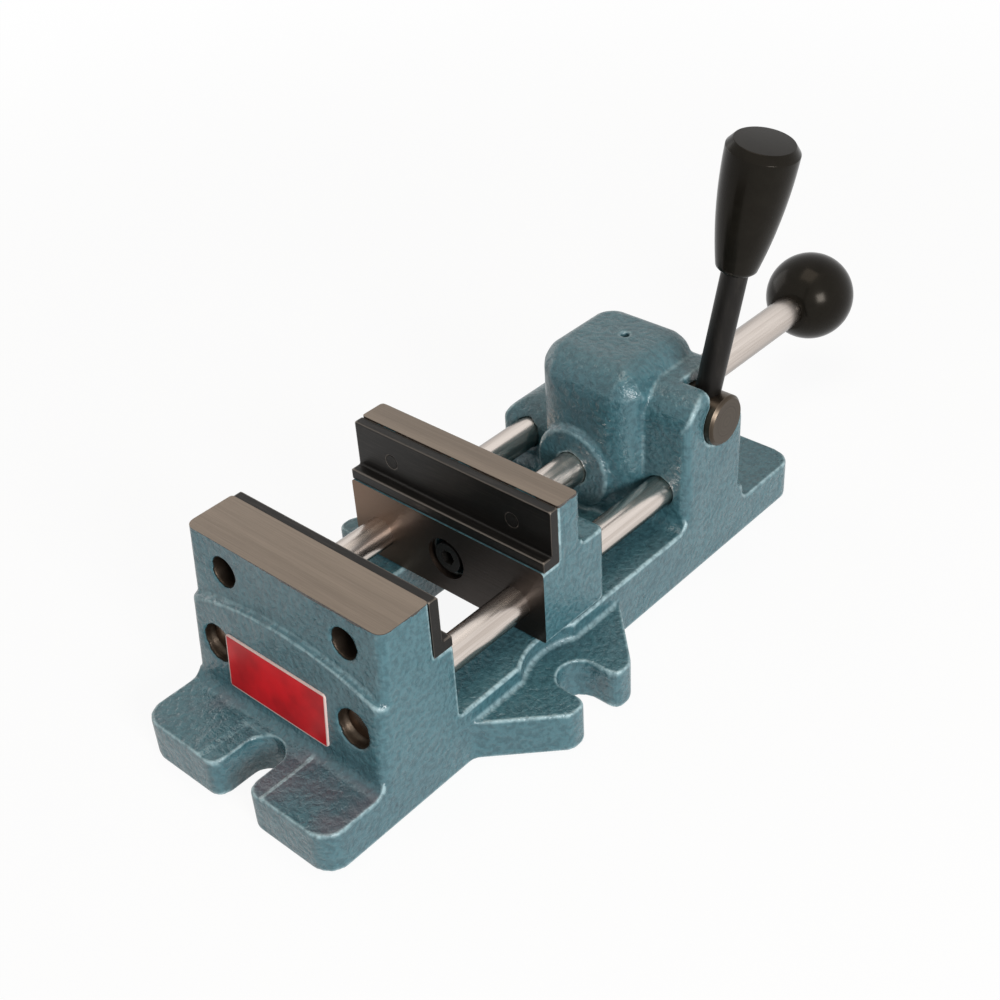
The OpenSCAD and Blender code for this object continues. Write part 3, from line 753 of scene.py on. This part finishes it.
def enamel_material(name, before, highlight_of, other_iron_of):
    """Hammered enamel with bare iron on top, where Y is less than before.

    highlight_of gives the mask of the painted highlight, and other_iron_of a second mask of bare
    iron and its colour, both from a spot."""
    material, tree, shader = new_material(name, IOR=1.52)
    spot = spot_of(tree)
    near = ramp(spot.y, before + GRIND_DEPTH, before)
    top = ramp(spot.z, GROUND_TOP - 2 * GRIND_DEPTH, GROUND_TOP - GRIND_DEPTH)
    other, other_colour = other_iron_of(spot)
    bare = largest(product(top, near), other)
    painted = inverse(bare)
    wheel = brushed(spot.place, TOP_STRETCH)
    paint = paint_colour(spot, highlight_of(spot))
    paint = blend(product(chipped(spot), near), paint, CHIPPED_IRON)
    iron = blend(other, ground_iron(wheel), other_colour)
    connect(shader, Base_Color=blend(bare, paint, iron), Metallic=scaled(bare, IRON_METAL))
    paint_rough = product(painted, scaled(spot.paint["Patch"], PATCH_ROUGH, ENAMEL_ROUGH))
    connect(shader, Roughness=scaled(bare, IRON_ROUGH, paint_rough))
    pebbles = product(spot.paint["Height"], painted)
    relief = scaled(product(wheel["Lines"], bare), SCRATCH_SHARE, pebbles)
    bump_shader(shader, relief, strength=0.9, depth=0.7 * MM)
    return material


casting.data.materials.append(enamel_material("casting_enamel", FIXED_JAW_END, casting_folds, bore_iron))
jaw_block.data.materials.append(enamel_material("jaw_enamel", ANYWHERE, folds, front_iron))
print("ground at", round(GROUND_TOP, 4), "and before", round(GROUND_FRONT, 4))

# %% [markdown]
# ## Black oxide
# The stepped jaw plates, the screws and the lever are blackened steel: a thin dark skin that is
# rubbed through along edges. Wear could be painted on, but the plates carry the same attribute fold
# as the castings, and it tells where the skin is worn.

# %% Blackened steel
OXIDE = light_of(30, 28, 26)
OXIDE_WORN = light_of(124, 116, 108)
OXIDE_STREAKS = (0.45, 0.8)
OXIDE_STREAK_SHARE = 0.1
WORN_RANGE = (0.25, 0.9)
OXIDE_CLOUD_ROUGH = 0.2


def oxide_material(name, worn, rough, stretch):
    """Black oxide steel with fine lines; worn says how far edges are rubbed bright."""
    material, tree, shader = new_material(name, Metallic=0.7)
    wheel = brushed(object_place(tree), stretch)
    fold = add(tree, "ShaderNodeAttribute", settings={"attribute_name": "fold"}).outputs["Fac"]
    streak = scaled(ramp(wheel["Lines"], *OXIDE_STREAKS), OXIDE_STREAK_SHARE)
    edge = scaled(ramp(fold, *WORN_RANGE), worn)
    skin = blend(streak, OXIDE, OXIDE_WORN)
    gloss = scaled(wheel["Cloud"], OXIDE_CLOUD_ROUGH, rough)
    connect(shader, Base_Color=blend(edge, skin, OXIDE_WORN), Roughness=gloss)
    bump_shader(shader, wheel["Lines"], strength=0.2, depth=0.05 * MM)
    return material


plate_black = oxide_material("plate_black", worn=0.7, rough=0.3, stretch=(80.0, 900.0, 2200.0))
screw_black = oxide_material("screw_black", worn=0.0, rough=0.35, stretch=(900.0, 900.0, 900.0))
lever_black = oxide_material("lever_black", worn=0.0, rough=0.34, stretch=(160.0, 160.0, 30.0))
for plate in (fixed_plate, moving_plate):
    plate.data.materials.append(plate_black)
print("black finishes:", plate_black.name, screw_black.name, lever_black.name)

# %% [markdown]
# ## Profiles for turned pieces
# Rods, shaft, ball, lever and grip are all turned: one profile, carried round an axis. The profile
# is a list of (radius, height) corners. No turned corner is perfectly sharp, so each is replaced by
# a small arc, which catches the light as a fine line.

# %% Rounded profile
ARC_STEPS = 6
MOST_OF_SIDE = 0.49


def rounded_profile(corners, radii):
    """Profile through corners (radius, height), each inner corner replaced by an arc of its radius.

    An arc is drawn as a quadratic curve that starts and ends on the corner's two sides, each at the
    distance radius / tan(half the corner's angle)."""
    corners = np.array(corners, float)
    rows = [corners[:1]]
    t = np.linspace(0, 1, ARC_STEPS)[:, None]
    for before, corner, after, radius in zip(corners[:-2], corners[1:-1], corners[2:], radii):
        back, on = before - corner, after - corner
        back_len, on_len = np.linalg.norm(back), np.linalg.norm(on)
        cosine = back @ on / (back_len * on_len)
        reach = radius / math.tan(math.acos(cosine) / 2)
        reach = min(reach, MOST_OF_SIDE * back_len, MOST_OF_SIDE * on_len)
        first, last = corner + back / back_len * reach, corner + on / on_len * reach
        rows.append((1 - t) ** 2 * first + 2 * t * (1 - t) * corner + t**2 * last)
    rows.append(corners[-1:])
    return np.vstack(rows)


print("steps of an arc:", ARC_STEPS)

# %% [markdown]
# ## The lathe
# A Screw modifier could turn a profile. One grid of points, with profile steps one way and the turning
# angle the other, needs no modifier, and the same grid also serves the label.

# %% Lathe
TURN_STEPS = 128
SAME_POINT = 1e-7
NO_LENGTH = 1e-8
TURNED_ANGLE = math.radians(40)


def grid_mesh(name, points):
    """Mesh of a grid of points, rows by columns, whose last column is joined to the first."""
    rows, columns = points.shape[:2]
    left = np.arange(rows * columns).reshape(rows, columns)
    right = np.roll(left, -1, axis=1)
    quads = np.stack([left[:-1], right[:-1], right[1:], left[1:]], axis=-1).reshape(-1, 4)
    mesh = bpy.data.meshes.new(name)
    mesh.from_pydata(points.reshape(-1, 3), [], quads)
    clean = bmesh.new()
    clean.from_mesh(mesh)
    bmesh.ops.remove_doubles(clean, verts=clean.verts, dist=SAME_POINT)
    bmesh.ops.dissolve_degenerate(clean, edges=clean.edges, dist=NO_LENGTH)
    bmesh.ops.recalc_face_normals(clean, faces=clean.faces)
    clean.to_mesh(mesh)
    clean.free()
    return mesh


def lathe(name, profile, foot, axis, body, material, nodes):
    """Surface of revolution: point = foot + axis * height + radius * (cos a * side + sin a * other)."""
    axis = Vector(axis).normalized()
    side = axis.orthogonal().normalized()
    other = axis.cross(side)
    angle = np.linspace(0, 2 * math.pi, TURN_STEPS, endpoint=False)[:, None]
    ring = np.cos(angle) * np.array(side) + np.sin(angle) * np.array(other)
    radius, height = np.asarray(profile, float).T[:, :, None, None]
    mesh = grid_mesh(name, np.array(foot) + height * np.array(axis) + radius * ring)
    mesh.shade_smooth()
    mesh.set_sharp_from_angle(angle=TURNED_ANGLE)
    mesh.materials.append(material)
    piece = show(name, mesh)
    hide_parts(*nodes)
    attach(piece, body)
    print(name, "points:", len(mesh.vertices))


print("steps of a turn:", TURN_STEPS)

# %% [markdown]
# ## Polished steel
# The rods and the shaft are ground bars: bright, with long streaks that are partly grinding marks and
# partly painted reflection, a few dull clouds, and a painted dark reflection where they turn away. A
# real bar mirrors a workshop; this room is plain white, so those reflections are painted into the
# colour. The rods' sawn ends turn brown. The cam shaft is faced on the lathe, so its lines are rings.

# %% Steel materials
TONE_RANGE = (0.25, 0.6)
EDGE_REFLECTION_RANGE = (0.28, 1.0)
# Dark colour of the painted reflection at a bar's sides, where it turns away.
STEEL_EDGE_REFLECTION = light_of(112, 101, 93)
STEEL_CLOUD_ROUGH = 0.12
ROD_CHAMFER = 0.6 * MM


def ring_place(tree, centre):
    """The distance from the axis along X through centre, as a place along X."""
    parts = add(tree, "ShaderNodeSeparateXYZ", object_place(tree)).outputs
    flat = add(tree, "ShaderNodeCombineXYZ", 0.0, parts["Y"], parts["Z"]).outputs["Vector"]
    away = distance(flat, (0.0, centre[1], centre[2]))
    return add(tree, "ShaderNodeCombineXYZ", away).outputs["Vector"]


def bar_colour(colour, end):
    """A colour as on a round bar: a painted dark reflection where it turns away, brown before Y = end."""
    tree = colour.id_data
    # Painted dark reflection: the bar darkens where its surface turns away from the view.
    facing = add(tree, "ShaderNodeLayerWeight", Blend=0.5).outputs["Facing"]
    colour = blend(ramp(facing, *EDGE_REFLECTION_RANGE), colour, STEEL_EDGE_REFLECTION)
    along = add(tree, "ShaderNodeSeparateXYZ", object_place(tree)).outputs["Y"]
    brown = ramp(along, end + 2 * ROD_CHAMFER, end + ROD_CHAMFER)
    return blend(brown, colour, BROWN_RUST_AND_REFLECTION)


def steel_material(name, bright, shade, rough, stretch, end=None, centre=None):
    """Ground metal: two tones along fine lines, a slow change of gloss.

    With an end, it is a bar with a painted dark reflection where it turns away and a brown end;
    with a centre, the lines are rings about it."""
    material, tree, shader = new_material(name, Metallic=1.0)
    place = ring_place(tree, centre) if centre else object_place(tree)
    wheel = brushed(place, stretch)
    colour = blend(ramp(wheel["Lines"], *TONE_RANGE), shade, bright)
    if end is not None:
        colour = bar_colour(colour, end)
    connect(shader, Base_Color=colour, Roughness=scaled(wheel["Cloud"], STEEL_CLOUD_ROUGH, rough))
    bump_shader(shader, wheel["Lines"], strength=0.04, depth=0.02 * MM)
    return material


hinge = next(joint for joint in frame["joints"] if joint["name"] == "lever_turn")
CAM_STEEL = light_of(84, 75, 65)
# On rods and shaft the two tones run in long bands: partly grinding marks, partly painted reflection.
rod_steel = steel_material("rod_steel", light_of(222, 212, 204), light_of(192, 181, 172),
                           rough=0.17, stretch=(420.0, 9.0, 420.0), end=rod_low.y)
cam_steel = steel_material("cam_steel", CAM_STEEL, light_of(62, 54, 47),
                           rough=0.3, stretch=(1000.0, 0.0, 0.0), centre=hinge["pos_m"])
brass = steel_material("brass", light_of(196, 160, 92), CAM_STEEL,
                       rough=0.25, stretch=(900.0, 900.0, 900.0))
print("metal finishes:", rod_steel.name, cam_steel.name, brass.name)

# %% [markdown]
# ## Guide rods
# Two rods carry the moving jaw. Each is a straight bar with its ends chamfered on the lathe. Place
# and length come from the solid's box, so that the rods stay in their bores.

# %% Guide rods
ROD_CORNER = 0.2 * MM
ALONG_Y = (0, 1, 0)
for side_name in ("left", "right"):
    low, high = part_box("guide_rod_" + side_name)
    radius = (high.x - low.x) / 2
    neck = radius - ROD_CHAMFER
    length = high.y - low.y
    front = [(0, 0), (neck, 0), (radius, ROD_CHAMFER)]
    back = [(radius, length - ROD_CHAMFER), (neck, length), (0, length)]
    profile = rounded_profile(front + back, [ROD_CORNER] * 4)
    foot = ((low.x + high.x) / 2, low.y, (low.z + high.z) / 2)
    lathe("rod_" + side_name, profile, foot, ALONG_Y, "base", rod_steel,
          ["guide_rod_" + side_name])

# %% [markdown]
# ## Operating shaft
# One shaft pushes the moving jaw. It is a thick bar from the jaw to the ball's flat, and a thin stud
# inside the ball.

# %% Operating shaft
STUD_RADIUS = 5 * MM
SHAFT_CORNER = 0.3 * MM
low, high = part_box("operating_shaft")
ball_low, ball_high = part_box("ball_knob")
shaft_radius = (high.x - low.x) / 2
shaft_foot = (0, low.y, (low.z + high.z) / 2)
shaft_len = high.y - low.y
ball_face = ball_low.y - low.y
bar = [(0, 0), (shaft_radius, 0), (shaft_radius, ball_face)]
stud = [(STUD_RADIUS, ball_face), (STUD_RADIUS, shaft_len), (0, shaft_len)]
lathe("shaft", rounded_profile(bar + stud, [SHAFT_CORNER] * 4), shaft_foot, ALONG_Y, "jaw",
      rod_steel, ["operating_shaft"])

# %% [markdown]
# ## Moulded resin
# Ball and lever grip are pressed from black phenolic resin and polished. It is nearly a mirror, but
# a soft one, with fine swirls in the highlight. One distorted noise makes the swirls, and it changes
# colour, gloss and relief together.

# %% Phenolic
WARM = (1.0, 0.9, 0.78, 1.0)
PHENOLIC = light_of(18, 16, 13)
PHENOLIC_LIGHT = light_of(30, 28, 24)
PHENOLIC_ROUGH = 0.14
SWIRL_ROUGH = 0.14
phenolic, tree, shader = new_material("phenolic", Specular_IOR_Level=0.11, Specular_Tint=WARM)
swirls = add(tree, "ShaderNodeTexNoise", Vector=object_place(tree), Scale=90.0, Detail=5.0, Distortion=1.5)
swirl = swirls.outputs["Fac"]
connect(shader, Base_Color=blend(swirl, PHENOLIC, PHENOLIC_LIGHT))
connect(shader, Roughness=scaled(swirl, SWIRL_ROUGH, PHENOLIC_ROUGH))
bump_shader(shader, swirl, strength=0.1, depth=0.1 * MM)
print("resin:", phenolic.name, "with", len(tree.nodes), "nodes")

# %% [markdown]
# ## The ball knob
# The ball is a full sphere but for the flat where it sits on the shaft. Its profile is that flat,
# from the axis out, and then an arc to the far pole. Flat and arc stop a little short of the rim,
# which breaks the edge.

# %% Ball knob
BALL_STEPS = 72
RIM_EASE = 0.03
FLAT_SHARE = 0.985
ball_radius = (ball_high.x - ball_low.x) / 2
ball_middle = ball_high.y - ball_radius
face_height = ball_low.y - ball_middle
face_radius = math.sqrt(ball_radius**2 - face_height**2)
theta = np.linspace(math.asin(face_height / ball_radius) + RIM_EASE, math.pi / 2, BALL_STEPS)
sphere = ball_radius * np.stack([np.cos(theta), np.sin(theta)], axis=1)
flat = np.array([[0, face_height], [shaft_radius, face_height], [face_radius * FLAT_SHARE, face_height]])
ball_foot = (0, ball_middle, (ball_low.z + ball_high.z) / 2)
lathe("ball", np.vstack([flat, sphere]), ball_foot, ALONG_Y, "jaw",
      phenolic, ["ball_knob"])

# %% [markdown]
# ## The lever
# The lever is a plain rod that stands in the cam shaft and leans a little back and outwards. It
# starts at the hinge that the construction model gives, so that it turns with the cam shaft.

# %% Lever
LEVER_LEAN = math.radians(3.0)
LEVER_SPLAY = math.radians(9.0)
LEVER_RADIUS = 5.4 * MM
LEVER_TOP = 86.5 * MM
LEVER_BURY = 7 * MM
LEVER_CORNER = 0.3 * MM
lever_foot = Vector(hinge["pos_m"])
lever_way = Vector((
    math.cos(LEVER_LEAN) * math.sin(LEVER_SPLAY),
    math.sin(LEVER_LEAN),
    math.cos(LEVER_LEAN) * math.cos(LEVER_SPLAY),
))
corners = [(0, -LEVER_BURY), (LEVER_RADIUS, -LEVER_BURY), (LEVER_RADIUS, LEVER_TOP), (0, LEVER_TOP)]
lathe("lever", rounded_profile(corners, [LEVER_CORNER] * 2), lever_foot, lever_way, "lever",
      lever_black, ["lever_rod"])

# %% [markdown]
# ## The lever's grip
# The grip flares upwards, so that a hand doesn't slip off it: the radius grows as a parabola and
# ends in a broad chamfer. Its profile is the rounded lower end, the flare and the rounded top.

# %% Grip
GRIP_START = 68.5 * MM
GRIP_END = 121.5 * MM
GRIP_LOW = 8.25 * MM
GRIP_TOP = 14.0 * MM
GRIP_CHAMFER = 3.0 * MM
GRIP_RIM = 2.4 * MM
GRIP_FOOT_CORNER = 0.5 * MM
GRIP_TOP_CORNERS = [0.6 * MM, 0.5 * MM]
FLARE_STEPS = 40
share = np.linspace(0, 1, FLARE_STEPS)
flare_height = GRIP_START + MM + share * (GRIP_END - GRIP_CHAMFER - GRIP_START - MM)
flare_radius = GRIP_TOP - (GRIP_TOP - GRIP_LOW) * (1 - share) ** 2
flare = np.stack([flare_radius, flare_height], axis=1)
low_end = [(LEVER_RADIUS, GRIP_START), (GRIP_LOW - MM, GRIP_START), flare[0]]
high_end = [flare[-2], flare[-1], (GRIP_TOP - GRIP_RIM, GRIP_END), (0, GRIP_END)]
profile = np.vstack([
    rounded_profile(low_end, [GRIP_FOOT_CORNER]),
    flare[1:-1],
    rounded_profile(high_end, GRIP_TOP_CORNERS),
])
lathe("grip", profile, lever_foot, lever_way, "lever", phenolic, ["lever_grip"])

# %% [markdown]
# ## The label plate
# A blank red plate is stuck to the leaning skirt of the fixed jaw. A box would look cut out of card.
# So the plate is a grid of rings of one outline: up the side, over a rounded edge that catches the
# light, and in to the middle.

# %% Label plate
LABEL_LEFT, LABEL_RIGHT = -30.3 * MM, 23.5 * MM
LABEL_LOW, LABEL_HIGH = 24.8 * MM, 49.0 * MM
LABEL_HALF_WIDTH = (LABEL_RIGHT - LABEL_LEFT) / 2
LABEL_HALF_HEIGHT = (LABEL_HIGH - LABEL_LOW) / 2
LABEL_MIDDLE = np.array([LABEL_RIGHT + LABEL_LEFT, LABEL_HIGH + LABEL_LOW]) / 2
LABEL_FACE = 0.7 * MM
LABEL_ROUND = 1.6 * MM
LABEL_ANGLE = math.radians(50)
CORNER_STEPS = 9
SKIRT_EDGE = np.array([0.0, -31.8 * MM, 55.8 * MM])
SKIRT_LEAN = math.radians(5)
SKIRT_UP = np.array([0.0, math.sin(SKIRT_LEAN), math.cos(SKIRT_LEAN)])
SKIRT_OUT = np.array([0.0, -math.cos(SKIRT_LEAN), math.sin(SKIRT_LEAN)])
SKIRT_FOOT = SKIRT_EDGE - SKIRT_UP * SKIRT_EDGE[2] / SKIRT_UP[2]
ACROSS = np.array([1.0, 0.0, 0.0])
# Each ring is a share of the outline's size and a share of the plate's thickness.
LABEL_RINGS = [(1, 0), (1, 0.55), (0.997, 0.85), (0.99, 1), (0.97, 1), (0.6, 1), (0.3, 1), (0, 1)]


def rounded_rectangle(half_width, half_height, radius):
    """Outline of a rectangle with round corners: a quarter circle about each inner corner in turn."""
    angle = np.linspace(0, math.pi / 2, CORNER_STEPS)[None] + np.arange(4)[:, None] * math.pi / 2
    sides = np.array([[1, 1], [-1, 1], [-1, -1], [1, -1]])
    middles = sides * (half_width - radius, half_height - radius)
    arcs = radius * np.stack([np.cos(angle), np.sin(angle)], axis=-1)
    return (middles[:, None] + arcs).reshape(-1, 2)


outline = rounded_rectangle(LABEL_HALF_WIDTH, LABEL_HALF_HEIGHT, LABEL_ROUND)
size, out = np.array(LABEL_RINGS, float).T[:, :, None, None]
rings = outline * size + LABEL_MIDDLE
points = SKIRT_FOOT + rings[..., :1] * ACROSS + rings[..., 1:] * SKIRT_UP + out * LABEL_FACE * SKIRT_OUT
label_mesh = grid_mesh("label_plate", points)
label_mesh.shade_smooth()
label_mesh.set_sharp_from_angle(angle=LABEL_ANGLE)
label = show("label_plate", label_mesh)
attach(label, "base")
print("label points:", len(label_mesh.vertices))

# %% [markdown]
# ## Label paint
# The plate is printed red and a little faded in clouds, and its print ends in a pale line all
# round. The line could be a second piece; a mask by the distance from the plate's middle is enough.

# %% Label paint
LABEL_RED = light_of(220, 16, 28)
LABEL_DARK = light_of(178, 8, 18)
LABEL_RIM = light_of(214, 190, 184)
LABEL_ROUGH = 0.22
FADE_ROUGH = 0.2
FADE_RANGE = (0.3, 0.7)
RIM = 0.7 * MM


def beyond(part, middle, half):
    """1 where a part of the place is further from middle than half less the rim's width, 0 inside."""
    away = calculate("ABSOLUTE", calculate("SUBTRACT", part, middle))
    return ramp(away, half - 1.1 * RIM, half - 0.9 * RIM)


label_red, tree, shader = new_material("label_red", Specular_IOR_Level=0.2)
place = object_place(tree)
parts = add(tree, "ShaderNodeSeparateXYZ", place).outputs
ends = beyond(parts["X"], LABEL_MIDDLE[0], LABEL_HALF_WIDTH)
long_edges = beyond(parts["Z"], LABEL_MIDDLE[1] * SKIRT_UP[2], LABEL_HALF_HEIGHT)
fade = add(tree, "ShaderNodeTexNoise", Vector=place, Scale=60.0, Detail=3.0).outputs["Fac"]
red = blend(ramp(fade, *FADE_RANGE), LABEL_RED, LABEL_DARK)
rim = largest(ends, long_edges)
connect(shader, Base_Color=blend(rim, red, LABEL_RIM), Roughness=scaled(fade, FADE_ROUGH, LABEL_ROUGH))
label.data.materials.append(label_red)
print("label paint:", label_red.name)

# %% [markdown]
# ## What stays as the solid has it
# Screws, washer, cam shaft and the inner pieces are small or hidden. Dressed copies of them would
# show nothing new, so they keep their solids and only get a finish.

# %% Finishes of the remaining solids
FINISHES = {
    screw_black: ["fixed_plate_screws", "moving_plate_screws", "rod_set_screws", "cam_retaining_screw",
                  "nose_screw"],
    cam_steel: ["nose_washer", "cam_shaft", "cam_shoe"],
    brass: ["ball_insert", "lever_insert"],
}
for finish, nodes in FINISHES.items():
    for node in nodes:
        NODES[node].data.materials.clear()
        NODES[node].data.materials.append(finish)
print("finished solids:", sum(map(len, FINISHES.values())))

# %% [markdown]
# ## The floor
# The vise stands on a pale floor. Rays from the camera, a mirror or glass see it mostly as plain
# white, and the rest of its shading keeps the vise's shadow. Further out it fades to the white of
# the room, so that no edge of it shows from the side.

# %% Floor
WHITE = (1.0, 1.0, 1.0, 1.0)
FLOOR_GREY = light_of(244, 244, 244)
FLOOR_HALF = 4.0
FLOOR_SINK = 0.3 * MM
FLOOR_GLOW = 0.92
FLOOR_FADE = (0.4, 1.1)


def seen_directly(tree):
    """1 for rays that come from the camera, a mirror or glass, 0 for rays that carry light about."""
    path = add(tree, "ShaderNodeLightPath").outputs
    return largest(path["Is Camera Ray"], path["Is Glossy Ray"], path["Is Transmission Ray"])


corners = FLOOR_HALF * np.array([(-1, -1, 0), (1, -1, 0), (1, 1, 0), (-1, 1, 0)])
floor_mesh = bpy.data.meshes.new("floor")
floor_mesh.from_pydata(corners, [], [(0, 1, 2, 3)])
floor = show("floor", floor_mesh)
floor.location.z = -FLOOR_SINK
floor_paint, tree, shader = new_material("floor_paint", Base_Color=FLOOR_GREY, Roughness=0.8)
glow = add(tree, "ShaderNodeEmission", Color=WHITE, Strength=1.0).outputs["Emission"]
far = ramp(distance(object_place(tree), (0.0, 0.0, 0.0)), *FLOOR_FADE)
white_share = product(seen_directly(tree), scaled(far, 1 - FLOOR_GLOW, FLOOR_GLOW))
mixed = add(tree, "ShaderNodeMixShader", white_share, shader.outputs["BSDF"], glow).outputs["Shader"]
connect(tree.nodes["Material Output"], Surface=mixed)
floor_mesh.materials.append(floor_paint)
print("floor half width:", FLOOR_HALF, "m")

# %% [markdown]
# ## The room
# The same rays see a plain white room, and all others a dim one. If the white room lit the vise too,
# it would wash out every colour; so the lamps do the lighting, and the room only lifts the shadows.

# %% Room
ROOM_LIGHT = 0.18
world = bpy.data.worlds.new("room")
bpy.context.scene.world = world
world.use_nodes = True
tree = world.node_tree
tree.nodes.clear()
white_room = add(tree, "ShaderNodeBackground", Color=WHITE, Strength=1.0).outputs["Background"]
dim_room = add(tree, "ShaderNodeBackground", Color=WHITE, Strength=ROOM_LIGHT).outputs["Background"]
mixed = add(tree, "ShaderNodeMixShader", seen_directly(tree), dim_room, white_room).outputs["Shader"]
add(tree, "ShaderNodeOutputWorld", Surface=mixed)
bpy.context.scene.view_settings.view_transform = "Standard"
print("room light:", ROOM_LIGHT)

# %% [markdown]
# ## Lamps
# Three square lamps light the vise, as in a studio: a key lamp from the right, a large warm one
# above, and a weak one from the left that opens the shadows. All look at its middle.

# %% Lamps
LAMP_AIM = Vector((0, 0.1, 0.05))


def lamp(name, at, size, watts, colour=WHITE):
    """Square soft lamp that looks at the middle of the vise."""
    data = bpy.data.lights.new(name, "AREA")
    data.size = size
    data.energy = watts
    data.color = colour[:3]
    way = LAMP_AIM - Vector(at)
    turn = way.to_track_quat("-Z", "Y").to_matrix().to_4x4()
    show(name, data).matrix_world = Matrix.Translation(at) @ turn
    print(name, watts, "W")


lamp("key_right", at=(1.23, -0.36, 0.56), size=0.5, watts=16.5)
lamp("soft_top", at=(0, 0.1, 1.4), size=0.8, watts=6, colour=WARM)
lamp("fill_left", at=(-1.4, 0.1, 0.4), size=0.9, watts=4)
